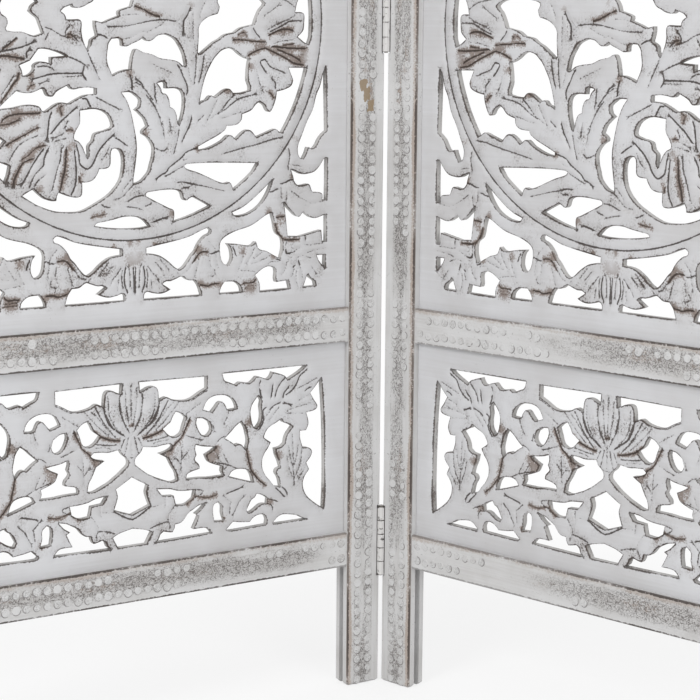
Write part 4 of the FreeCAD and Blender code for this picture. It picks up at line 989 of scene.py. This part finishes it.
# %% A number that varies
class Value:
    """A number that varies over a surface."""

    def __init__(self, finish, socket):
        self.finish = finish
        self.socket = socket

    def maths(self, operation, first, second=0.0):
        """Adds a Math node of one or two numbers."""
        return self.finish.node("ShaderNodeMath", {"operation": operation}, {0: first, 1: second})

    def __add__(self, other):
        return self.maths("ADD", self, other)

    def __sub__(self, other):
        return self.maths("SUBTRACT", self, other)

    def __mul__(self, other):
        return self.maths("MULTIPLY", self, other)

    def __truediv__(self, other):
        return self.maths("DIVIDE", self, other)

    def __rsub__(self, other):
        return self.maths("SUBTRACT", other, self)

    def __rtruediv__(self, other):
        return self.maths("DIVIDE", other, self)

    __radd__ = __add__
    __rmul__ = __mul__

    def size(self):
        """Without its sign."""
        return self.maths("ABSOLUTE", self)

    def most(self, other):
        """The larger of the two."""
        return self.maths("MAXIMUM", self, other)

    def least(self, other):
        """The smaller of the two."""
        return self.maths("MINIMUM", self, other)

    def rise(self, low, high):
        """A smooth step from 0 at low to 1 at high."""
        return self.finish.node("ShaderNodeMapRange", {"interpolation_type": "SMOOTHSTEP"},
                                {"Value": self, "From Min": low, "From Max": high})

    def hump(self, middle, width):
        """1 at the middle, and 0 beyond the width either side."""
        return 1 - ((self - middle) / width).size().rise(0.0, 1.0)


print("values ready")

# %% A finish and its nodes
class Finish:
    """The nodes of one material, or of the world."""

    def __init__(self, owner):
        self.owner = owner
        owner.use_nodes = True
        self.tree = owner.node_tree
        self.shader = self.tree.nodes.get("Principled BSDF")

    def node(self, kind, settings=None, values=None, output=0):
        """Adds a node of a kind, sets it up, fills its sockets and gives one of its outputs."""
        made = self.tree.nodes.new(kind)
        for setting, value in (settings or {}).items():
            setattr(made, setting, value)
        for name, value in (values or {}).items():
            self.fill(made.inputs[name], value)
        return Value(self, made.outputs[output])

    def fill(self, socket, value):
        """Links a Value to a socket, or writes a plain number or colour on it."""
        if isinstance(value, Value):
            self.tree.links.new(value.socket, socket)
        else:
            socket.default_value = value

    def stored(self, name):
        """A number kept on the mesh."""
        return self.node("ShaderNodeAttribute", {"attribute_name": name}, output="Fac")

    def noise(self, place, scale, detail=3.0, rough=0.55):
        """Soft noise between about 0.3 and 0.7."""
        return self.node("ShaderNodeTexNoise", {}, {"Vector": place, "Scale": scale, "Detail": detail,
                                                    "Roughness": rough}, "Fac")

    def curls(self, place, scale):
        """Thin curly marks, where two soft noises cross their middle."""
        return self.noise(place, scale, 2.0).hump(0.5, 0.040).most(
            self.noise(place, scale * 1.7, 2.0).hump(0.48, 0.045))

    def blend(self, share, first, second):
        """One colour turning into another."""
        return self.node("ShaderNodeMix", {"data_type": "RGBA"}, {0: share, 6: first, 7: second}, 2)

    def panel_place(self, side):
        """The place on the panel in metres: along from the hinge line, depth and height."""
        here = self.node("ShaderNodeTexCoord", output="Object")
        turn = Matrix.Rotation(PANEL_TURN, 3, "Z")
        start = turn @ Vector((0, -hinge_line.y, 0))
        return self.node("ShaderNodeMapping", {"vector_type": "POINT"},
                         {"Vector": here, "Location": start, "Rotation": (0, 0, PANEL_TURN),
                          "Scale": (side, 1, 1)})

    def stretched(self, place, scale):
        """A place with its axes scaled, for grain that runs one way."""
        return self.node("ShaderNodeVectorMath", {"operation": "MULTIPLY"}, {0: place, 1: scale})

    def axis(self, place, which):
        """One axis of a place, in millimetres."""
        return self.node("ShaderNodeSeparateXYZ", {}, {0: place}, which) * 1000

    def finish_with(self, colour, rough, height, bump, reach, specular=0.3):
        """Connects the colour, the roughness and the fine relief to the shader."""
        relief = self.node("ShaderNodeBump", {},
                           {"Height": height, "Strength": bump, "Distance": reach}, "Normal")
        for name, value in (("Base Color", colour), ("Roughness", rough), ("Normal", relief),
                            ("Specular IOR Level", specular)):
            self.fill(self.shader.inputs[name], value)
        return self.owner


def new_finish(name):
    """A new material's nodes."""
    return Finish(bpy.data.materials.new(name))


print("finishes ready")

# %% [markdown]
# ## The wash on the boards
# The boards are painted a cool grey-white. The brush left faint lines along the board, every cut
# edge and the deeper cuts are darkened, partly with painted shade and partly as thin paint, the
# walls of the holes carry painted shade, and a little brown wood shows where hands and cloths have
# rubbed it.

# %% Finish of the carved boards
PAINT_BOARD = (0.600, 0.603, 0.618, 1)
PAINT_SHADE = (0.520, 0.515, 0.520, 1)
WALL_SHADE_PAINT = (0.500, 0.490, 0.478, 1)
# Near-black: painted shade along edges, in cuts, beside the boards and on the hinges' sides, and thin,
# worn paint.
DARK_LINE_AND_SHADE = (0.052, 0.041, 0.036, 1)
BARE_WOOD = (0.160, 0.112, 0.086, 1)


def board_finish(side, side_name):
    """The wash on one panel's boards: painted shade on the hole walls, dark edges and cuts that are partly
    painted shade and partly thin paint, and wear along the carving.
    """
    f = new_finish("washed_board_" + side_name)
    place = f.panel_place(side)
    edge, groove, bare, carved = (f.stored(name) for name in ("edge", "groove", "bare", "carved"))
    wall = f.stored("side").rise(0.7, 0.9)
    cloud = f.noise(place, 9.0, 4.0)
    brush = f.noise(f.stretched(place, (12, 60, 420)), 1.0, 4.0)
    crumb = f.noise(place, 560.0, 3.0, 0.65)
    patch = f.noise(place, 42.0, 3.0)
    colour = f.blend((cloud * 0.9 + brush * 0.25).rise(0.38, 0.72), PAINT_SHADE, PAINT_BOARD)
    # The walls of the holes are painted darker and browner: painted shade.
    colour = f.blend(wall * 0.85, colour, WALL_SHADE_PAINT)
    # Brown shows faintly over all the carving, in scratches, where it is rubbed and near edges.
    grime = (bare * 0.55 + groove * 0.5 + edge * 0.35 + (patch - 0.5) * 1.1).rise(0.12, 0.95) * carved
    scratch = f.curls(f.stretched(place, (1.6, 1.6, 0.7)), 105.0) * carved * patch.rise(0.42, 0.60)
    rubbed = (bare * 1.15 + (crumb - 0.5) * 2.6 + (patch - 0.5) * 0.7).rise(0.44, 0.84) \
        * (carved * 0.95 + 0.05)
    fringe = (edge * 0.55 + carved * 0.5 + (patch - 0.5) * 2.6 + (crumb - 0.5) * 2.2).rise(0.90, 1.30)
    for share in (grime * 0.5 + carved * 0.055, scratch * 0.22, rubbed * 0.78, fringe * 0.6):
        colour = f.blend(share, colour, BARE_WOOD)
    # Dark lines follow the holes' edges and the cuts, broken up by the two noises: painted shade
    # at the edges and in the cuts, together with thin, worn paint.
    carving = carved.rise(0.25, 0.8)
    line = (edge * 1.1 + (patch - 0.5) * 1.9 + (crumb - 0.5) * 1.9).rise(0.34, 0.72) \
        * edge.rise(0.0, 0.15).most(carving)
    cut_shade_and_wear = (groove + (patch - 0.5) * 1.1 + (crumb - 0.5) * 1.5).rise(0.12, 0.52) * carving
    dark = (line * (1 - wall * 0.55)).most(cut_shade_and_wear)
    colour = f.blend(dark * 0.9, colour, DARK_LINE_AND_SHADE)
    speck = f.noise(place, 520.0, 2.0).rise(0.70, 0.76) * patch.rise(0.52, 0.62)
    colour = f.blend(speck * 0.4, colour, BARE_WOOD)
    return f.finish_with(colour, 0.52 + dark * 0.25 + (cloud - 0.5) * 0.3,
                         brush * 0.25 + crumb * 0.35 - rubbed * 0.3, 0.35, 0.0006)


for side, side_name in SIDES:
    material = board_finish(side, side_name)
    for piece in boards[side]:
        piece.data.materials.append(material)
print("boards finished")

# %% [markdown]
# ## The wash on the frame
# Posts and bars carry the same paint, warmer and more worn. A stamp was beaten over the middle of
# each one, and dirt has stayed in the curly marks that it left. The edge next to the boards is
# rubbed brown, and a dark line of painted shadow runs along it, where the boards lie deeper. Each
# piece has its own material, because the bands follow its own middle line.

# %% Finish of the posts and bars
PAINT_FRAME = (0.596, 0.594, 0.594, 1)
PAINT_FRAME_SHADE = (0.495, 0.486, 0.478, 1)
STIPPLE = (0.092, 0.080, 0.074, 1)
STIPPLE_HAZE = (0.280, 0.250, 0.230, 1)
WORN_EDGE = (0.340, 0.258, 0.205, 1)
CHIPPED_WOOD = (0.265, 0.195, 0.118, 1)
BAR_DIRT_START = {-1: (50, 110), 1: (120, 330)}  # dirt on the bars begins this far from the hinges
CHIPPED_POST = "left_inner_stile"
# Across the post, half its width there, up the post and half its height there.
CHIP_PARTS = ((5.5, 8.0, 617.0, 9.0), (1.0, 6.5, 607.0, 14.0), (-3.0, 6.5, 596.0, 11.0))


def frame_finish(name, side, upright, middle, half, board_side):
    """Paint of one post or bar, by its middle line and half its width, in millimetres.

    The boards lie towards the hinges of a post where board_side is -1, and away from them where it
    is 1. A bar has boards on both sides, which is 0.
    """
    f = new_finish("washed_" + name)
    place = f.panel_place(side)

    def lengthwise(across, along):
        """The place, with its axes scaled across the piece and along it."""
        return f.stretched(place, (across, across, along) if upright else (along, across, across))

    along = f.axis(place, "Z" if upright else "X")
    across = f.axis(place, "X" if upright else "Z") - middle
    depth = f.axis(place, "Y")
    cloud = f.noise(place, 14.0, 4.0)
    patch = f.noise(lengthwise(60, 12), 1.0, 3.0)
    crumb = f.noise(place, 560.0, 3.0, 0.65)
    grain = f.noise(lengthwise(420, 12), 1.0, 3.0)
    face = 1 - ((depth - FRONT_DEPTH).size().rise(1.0, 3.0) if upright
                else (depth - RAIL_FRONT).size().rise(1.6, 4.5))
    colour = f.blend((cloud * 0.9 + grain * 0.45).rise(0.42, 0.82), PAINT_FRAME_SHADE, PAINT_FRAME)
    # The stamped band down the middle keeps the dirt, in a haze and in curly marks.
    if upright:
        haze = across.hump(0.5, 17.0).rise(0.05, 0.75)
        worn = face * patch.rise(0.32, 0.58)
    else:
        haze = across.hump(2.5, 20.0)
        worn = face * patch.rise(0.22, 0.50) * along.rise(*BAR_DIRT_START[side])
    haze = haze * worn
    colour = f.blend(haze * (0.2 if upright else 0.34), colour, STIPPLE_HAZE)
    strokes = lengthwise(1.5, 0.7) if upright else lengthwise(1.2, 0.9)
    marks = f.curls(strokes, 230.0) * 0.9 + (crumb - 0.5) * 1.5 + (haze - 0.5) * 0.7
    marks = marks.rise(0.46, 0.80) * haze.rise(0.05, 0.5)
    colour = f.blend(marks * 0.78, colour, STIPPLE)
    # A post's edge beside the boards, or a bar's upper edge, is rubbed brown.
    reach = across * board_side if board_side else across
    rubbed = reach.rise(half - 8.5, half - 2.0) * 0.9 + (patch - 0.5) * 1.8 + (crumb - 0.5) * 1.4
    rubbed = rubbed.rise(0.38, 0.95).most(
        (haze * 0.7 + (cloud - 0.5) * 2.2 + (crumb - 0.5) * 1.2).rise(0.76, 1.2))
    colour = f.blend(rubbed * (0.72 if upright else 0.5) * face, colour, WORN_EDGE)
    # A broken dark line of painted shadow runs along a post's edge beside the boards, and along both
    # edges of a bar, where the boards lie deeper than the frame.
    if board_side:
        rim = reach.rise(half - 2.4, half - 0.9)
    else:
        rim = across.size().rise(half - 2.6, half - 1.0)
    dash = f.noise(place, 250.0, 2.0)
    line = (rim + (patch - 0.5) * 1.2 + (crumb - 0.5) * 1.6 + (dash - 0.5) * 1.6).rise(0.48, 0.86)
    colour = f.blend(line * (worn * 0.45 + 0.55) * 0.92 * face, colour, DARK_LINE_AND_SHADE)
    speck = f.noise(place, 430.0, 2.0).rise(0.64, 0.71) * cloud.rise(0.45, 0.58)
    colour = f.blend(speck * 0.5, colour, STIPPLE)
    if name == CHIPPED_POST:
        ragged = f.noise(place, 210.0, 2.0)
        first, second, third = (across.hump(u, wide).least(along.hump(z, tall))
                                for u, wide, z, tall in CHIP_PARTS)
        chip = (first.most(second).most(third) + (ragged - 0.5) * 1.3).rise(0.38, 0.48)
        colour = f.blend(chip * 0.9, colour, CHIPPED_WOOD)
        marks = marks * (1 - chip)
    return f.finish_with(colour, 0.55 + marks * 0.2 + rubbed * 0.1,
                         crumb * 0.5 - marks * 0.6 + grain * 0.3 + patch * 0.4, 0.5, 0.0009)


POST_MIDDLE = POST_START + POST_WIDTH / 2
for side, side_name in SIDES:
    for post, middle, board_side in (("_inner_stile", POST_MIDDLE, 1),
                                     ("_outer_stile", 2 * PANEL_MIDDLE - POST_MIDDLE, -1)):
        name = side_name + post
        nodes[name].material_slots[0].material = frame_finish(
            name, side, True, middle, POST_WIDTH / 2, board_side)
    for bar in BARS:
        name = side_name + "_" + bar
        nodes[name].material_slots[0].material = frame_finish(name, side, False, *heights(name), 0)
print("posts and bars finished")

# %% [markdown]
# ## The stamped circles
# Before it was painted, the face of every post and bar was stamped with two rows of small
# circles, and the paint has filled some of them. They repeat by the thousand, so Geometry Nodes
# place them: the rows are plain edges, the tree puts points along them at the pitch of the stamp
# and sets a low button on each, a little tilted, so that only part of its rim stands proud. A soft
# noise leaves some stretches of a row empty, where the paint lies thick, and the rows also break
# where the left post is chipped.

# %% Finish of the stamped circles
def stamp_finish():
    """The frame's paint, with painted shade on the lower side of each circle's rim."""
    f = new_finish("stamped_paint")
    here = f.node("ShaderNodeTexCoord", output="Object")
    rim = f.stored("rim")
    cloud = f.noise(here, 14.0, 4.0)
    patch = f.noise(here, 60.0, 3.0)
    crumb = f.noise(here, 380.0, 3.0, 0.6)
    colour = f.blend((cloud * 0.9 + crumb * 0.5).rise(0.42, 0.82), PAINT_FRAME_SHADE, PAINT_FRAME)
    # Painted shade: the lower side of each rim is darkened, broken up by noise.
    dark = 0.5 - f.stored("upper") * 0.5 + (patch - 0.5) * 1.9 + (crumb - 0.5) * 2.0
    dark = dark.rise(0.34, 0.66) * rim
    colour = f.blend(dark * 0.66, colour, STIPPLE)
    freckle = (f.curls(here, 240.0) + (patch - 0.5) * 2.0).rise(0.6, 1.0) * (1 - rim)
    colour = f.blend(freckle * 0.45, colour, STIPPLE)
    return f.finish_with(colour, 0.56 + dark * 0.2, crumb, 0.35, 0.0006)


stamp_paint = stamp_finish()
print("circles' paint made")

# %% A tree that stamps circles along edges
STAMP_INPUTS = (("Rows", "Geometry", None), ("Pitch", "Float", 0.0103), ("Radius", "Float", 0.0047),
                ("Relief", "Float", 0.00042), ("Facing", "Vector", (0, -1, 0)),
                ("Bare Spot", "Vector", (0, 0, 0)), ("Bare Reach", "Float", 0.0))
TOP_SHARE = 0.80  # a button's top is this much of its foot
ROW_JITTER = 0.0009  # a circle is up to this far off its row, in metres
WORN_BELOW = 0.465  # where the soft noise is below this, a row is bare


class Tree:
    """A Geometry Nodes tree while it is being built."""

    def __init__(self, name, inputs):
        self.group = bpy.data.node_groups.new(name, "GeometryNodeTree")
        for title, kind, value in inputs:
            self.socket(title, kind, "INPUT", value)
        self.start = self.group.nodes.new("NodeGroupInput").outputs

    def socket(self, title, kind, in_out, value=None):
        """Gives the tree an input or an output."""
        made = self.group.interface.new_socket(title, in_out=in_out, socket_type="NodeSocket" + kind)
        if value is not None:
            made.default_value = value

    def add(self, kind, settings=None, values=None):
        """Adds a node of a kind, sets it up, and links or fills its inputs."""
        node = self.group.nodes.new(kind)
        for setting, value in (settings or {}).items():
            setattr(node, setting, value)
        for name, value in (values or {}).items():
            if isinstance(value, bpy.types.NodeSocket):
                self.group.links.new(value, node.inputs[name])
            else:
                node.inputs[name].default_value = value
        return node.outputs


def button(tree):
    """One low button, open behind, with its rim and its place up or down kept for the finish, which paints
    shade on the lower side of the rim.
    """
    start = tree.start
    top_radius = tree.add("ShaderNodeMath", {"operation": "MULTIPLY"}, {0: start["Radius"], 1: TOP_SHARE})
    cone = tree.add("GeometryNodeMeshCone", {"fill_type": "TRIANGLE_FAN"},
                    {"Vertices": 14, "Side Segments": 1, "Fill Segments": 1,
                     "Radius Top": top_radius[0], "Radius Bottom": start["Radius"],
                     "Depth": start["Relief"]})
    place = tree.add("ShaderNodeSeparateXYZ", {}, {0: tree.add("GeometryNodeInputPosition")[0]})
    upward = tree.add("ShaderNodeMath", {"operation": "DIVIDE"}, {0: place["Y"], 1: start["Radius"]})
    made = cone["Mesh"]
    for name, value in (("rim", cone["Side"]), ("upper", upward[0])):
        made = tree.add("GeometryNodeStoreNamedAttribute", {"data_type": "FLOAT", "domain": "FACE"},
                        {"Geometry": made, "Name": name, "Value": value})[0]
    return tree.add("GeometryNodeDeleteGeometry", {"domain": "FACE"},
                    {"Geometry": made, "Selection": cone["Bottom"]})[0]


def row_points(tree):
    """The points along the rows, each a little off its row, and which of them are stamped."""
    start = tree.start
    lines = tree.add("GeometryNodeMeshToCurve", {}, {"Mesh": start["Rows"]})
    dots = tree.add("GeometryNodeResampleCurve", {"mode": "LENGTH"},
                    {"Curve": lines[0], "Length": start["Pitch"]})
    shift = tree.add("FunctionNodeRandomValue", {"data_type": "FLOAT_VECTOR"},
                     {0: (0, 0, -ROW_JITTER), 1: (0, 0, ROW_JITTER), "Seed": 3})
    uneven = tree.add("GeometryNodeSetPosition", {}, {"Geometry": dots[0], "Offset": shift[0]})
    wear = tree.add("ShaderNodeTexNoise", {}, {"Scale": 9.0, "Detail": 1.0})
    kept = tree.add("FunctionNodeCompare", {"operation": "GREATER_THAN"}, {0: wear[0], 1: WORN_BELOW})
    away = tree.add("ShaderNodeVectorMath", {"operation": "DISTANCE"},
                    {0: tree.add("GeometryNodeInputPosition")[0], 1: start["Bare Spot"]})
    clear = tree.add("FunctionNodeCompare", {"operation": "GREATER_THAN"},
                     {0: away["Value"], 1: start["Bare Reach"]})
    chosen = tree.add("FunctionNodeBooleanMath", {"operation": "AND"}, {0: kept[0], 1: clear[0]})
    return uneven[0], chosen[0]


def stamp_tree(material):
    """The tree that turns edges into rows of buttons, each a little tilted, turned and resized."""
    tree = Tree("stamped_circles", STAMP_INPUTS)
    points, chosen = row_points(tree)
    aim = tree.add("FunctionNodeAlignRotationToVector", {"axis": "Z"}, {"Vector": tree.start["Facing"]})
    tilt = tree.add("FunctionNodeRandomValue", {"data_type": "FLOAT_VECTOR"},
                    {0: (-0.06, -0.06, -1.3), 1: (0.06, 0.06, 0.9), "Seed": 5})
    turn = tree.add("FunctionNodeEulerToRotation", {}, {0: tilt[0]})
    tilted = tree.add("FunctionNodeRotateRotation", {"rotation_space": "LOCAL"},
                      {"Rotation": aim[0], 1: turn[0]})
    grow = tree.add("FunctionNodeRandomValue", {"data_type": "FLOAT"}, {2: 0.80, 3: 1.06, "Seed": 9})
    stamped = tree.add("GeometryNodeInstanceOnPoints", {},
                       {"Points": points, "Instance": button(tree), "Selection": chosen,
                        "Rotation": tilted[0], "Scale": grow[1]})
    whole = tree.add("GeometryNodeRealizeInstances", {}, {"Geometry": stamped[0]})
    painted = tree.add("GeometryNodeSetMaterial", {}, {"Geometry": whole[0], "Material": material})
    tree.socket("Stamped", "Geometry", "OUTPUT")
    tree.group.links.new(painted[0], tree.group.nodes.new("NodeGroupOutput").inputs[0])
    return tree.group


circles = stamp_tree(stamp_paint)
print("stamp tree:", len(circles.nodes), "nodes")

# %% Rows on one panel
POST_ROWS = (14.1, 27.1)
BAR_ROWS = (-8.0, 7.0)
POST_ROW_END = 6.0
BAR_ROW_END = 7.0
BUTTON_SINK = 0.12  # how far a button's foot lies behind the wood's face
CHIP = (POST_MIDDLE + 1.0, FRONT_DEPTH, 608.0)
CHIP_REACH = 0.0155  # in metres: no circle is left within this of the chip


def stamp_rows():
    """The ends of one panel's rows, two for each row, in the panel's own frame."""
    ends = []
    top = cad_high.z * 1000 - POST_ROW_END
    for u in POST_ROWS:
        for across in (u, 2 * PANEL_MIDDLE - u):
            ends += [(across, FRONT_DEPTH, POST_ROW_END), (across, FRONT_DEPTH, top)]
    reach = SIGHT_HALF_WIDTH - BAR_ROW_END
    for bar in BARS:
        middle, _ = heights("right_" + bar)
        for rise in BAR_ROWS:
            ends += [(PANEL_MIDDLE + end * reach, RAIL_FRONT, middle + rise) for end in (-1, 1)]
    return [(u, depth + BUTTON_SINK, z) for u, depth, z in ends]


def stamp(side, body):
    """Stamps one panel, and keeps its circles as one plain mesh."""
    ends = stamp_rows()
    mesh = bpy.data.meshes.new(body + "_rows")
    mesh.from_pydata(to_row(ends, side).tolist(), [(i, i + 1) for i in range(0, len(ends), 2)], [])
    rows = new_object(body + "_rows", mesh)
    modifier = rows.modifiers.new("stamp", "NODES")
    modifier.node_group = circles
    facing = to_row([(0, -1000, 0)], side)[0] - to_row([(0, 0, 0)], side)[0]
    settings = {"Facing": facing.tolist(), "Bare Spot": to_row([CHIP], side)[0].tolist(),
                "Bare Reach": CHIP_REACH if side < 0 else 0.0}
    for item in circles.interface.items_tree:
        if item.name in settings:
            modifier[item.identifier] = settings[item.name]
    bpy.context.view_layer.update()
    made = bpy.data.meshes.new_from_object(rows.evaluated_get(bpy.context.evaluated_depsgraph_get()))
    rows.modifiers.remove(modifier)
    bpy.data.objects.remove(rows)
    made.name = body + "_stamped_circles"
    piece = new_object(made.name, made)
    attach(piece, body)
    print(made.name, len(made.polygons), "faces")


for side, side_name in SIDES:
    stamp(side, side_name + "_panel")

# %% [markdown]
# ## The hinges
# The leaves were painted with the frame, and the paint is worn through in patches. The knuckles
# have dark joints and painted shade along their sides. The pins and the screws are dull steel with
# old paint on them.

# %% Finish of the hinges
HINGE_MIDDLES = (151.0, 684.0, 1284.0, 1743.0)  # heights above the floor
KNUCKLE = 14.4  # the length of one of a hinge's five knuckles
KNUCKLE_JOINTS = (0.5, 1.5, 2.5)  # from a hinge's middle, in knuckles


def metal_finish(name, paint, metal, cover, rough, joints):
    """Steel with more or less paint left on it, dark in the joints between the knuckles, with painted
    shade along the sides of the barrel.
    """
    f = new_finish(name)
    here = f.node("ShaderNodeTexCoord", output="Object")
    patch = f.noise(here, 210.0, 3.0)
    crumb = f.noise(here, 900.0, 2.0)
    worn = (patch * 0.7 + crumb * 0.3).rise(cover, cover + 0.10)
    colour = f.blend(worn, paint, metal)
    if joints:
        # Dark joints between the knuckles, and painted shade along both sides of the barrel.
        height, beside = f.axis(here, "Z"), f.axis(here, "X")
        joints_and_side_shade = beside.size().rise(2.9, 3.7)
        for middle in HINGE_MIDDLES:
            away = (height - middle).size()
            for joint in KNUCKLE_JOINTS:
                joints_and_side_shade = joints_and_side_shade.most(away.hump(joint * KNUCKLE, 1.3))
        joints_and_side_shade = (joints_and_side_shade + (crumb - 0.5) * 0.8 + (patch - 0.5) * 0.9).rise(0.45, 0.9)
        colour = f.blend(joints_and_side_shade * 0.9, colour, DARK_LINE_AND_SHADE)
    f.fill(f.shader.inputs["Metallic"], worn * 0.8)
    return f.finish_with(colour, rough - worn * 0.15, patch + crumb * 0.4, 0.3, 0.0004, specular=0.5)


leaf_finish = metal_finish("painted_hinge", (0.590, 0.580, 0.570, 1), (0.100, 0.090, 0.085, 1),
                           0.56, 0.5, True)
pin_finish = metal_finish("dull_pin", (0.400, 0.385, 0.370, 1), (0.180, 0.165, 0.150, 1),
                          0.46, 0.45, False)
screw_finish = metal_finish("dull_screw", (0.460, 0.440, 0.420, 1), (0.200, 0.185, 0.165, 1),
                            0.48, 0.45, False)
nodes["hinge_pins"].material_slots[0].material = pin_finish
for side, side_name in SIDES:
    nodes[side_name + "_hinge_leaves"].material_slots[0].material = leaf_finish
    nodes[side_name + "_hinge_screws"].material_slots[0].material = screw_finish
print("hinges finished")

# %% [markdown]
# ## Floor, backdrop and light
# The photograph has a white ground with no horizon. The floor is a near-white sheet that keeps
# the screen's soft shadow and turns to plain white away from it, and the world shows white to
# the camera and to reflections. Two large soft lamps light the screen evenly from the front.

# %% Floor
FLOOR_COLOUR = (0.90, 0.90, 0.90, 1)
FLOOR_WHITE = 0.72  # the floor's share of plain white near the screen; far away it is all white


def mix_in_white(f, lit, white_kind, end, share=None):
    """Shows plain white over a lit shader to the camera, in reflections and through clear things."""
    camera_ray, glossy_ray, clear_ray = (f.node("ShaderNodeLightPath", output="Is " + kind + " Ray")
                                         for kind in ("Camera", "Glossy", "Transmission"))
    seen = camera_ray.most(glossy_ray).most(clear_ray)
    white = f.node(white_kind, {}, {"Color": (1, 1, 1, 1)})
    mix = f.node("ShaderNodeMixShader", {},
                 {0: seen if share is None else share * seen, 1: Value(f, lit.outputs[0]), 2: white})
    f.fill(f.tree.nodes[end].inputs[0], mix)


floor_mesh = bpy.data.meshes.new("floor")
floor_mesh.from_pydata([(-12, -6, 0), (12, -6, 0), (12, 14, 0), (-12, 14, 0)], [], [(0, 1, 2, 3)])
floor = new_object("floor", floor_mesh)
pale = new_finish("pale_floor")
for name, value in (("Base Color", FLOOR_COLOUR), ("Roughness", 0.9), ("Specular IOR Level", 0.0)):
    pale.fill(pale.shader.inputs[name], value)
away = pale.node("ShaderNodeVectorMath", {"operation": "LENGTH"},
                 {0: pale.node("ShaderNodeTexCoord", output="Object")}, "Value").rise(0.45, 1.0)
mix_in_white(pale, pale.shader, "ShaderNodeEmission", "Material Output",
             FLOOR_WHITE + away * (1 - FLOOR_WHITE))
floor_mesh.materials.append(pale.owner)
print("floor laid")

# %% World and lamps
WORLD_LIGHT = 0.72

world = bpy.data.worlds.new("studio")
bpy.context.scene.world = world
sky = Finish(world)
soft = world.node_tree.nodes["Background"]
soft.inputs["Color"].default_value = (1, 1, 1, 1)
soft.inputs["Strength"].default_value = WORLD_LIGHT
mix_in_white(sky, soft, "ShaderNodeBackground", "World Output")


def lamp(name, place, size, power):
    """A square soft lamp aimed at the middle of the screen."""
    data = bpy.data.lights.new(name, "AREA")
    data.size = size
    data.energy = power
    made = new_object(name, data)
    made.location = place
    aim = Vector((0, 0, 0.8)) - Vector(place)
    made.rotation_mode = "QUATERNION"
    made.rotation_quaternion = aim.to_track_quat("-Z", "Y")


lamp("key_lamp", (-2.2, -3.2, 2.6), 1.6, 68)
lamp("fill_lamp", (2.6, -3.0, 1.8), 2.0, 46)
bpy.context.scene.view_settings.view_transform = "Standard"
print("lit")
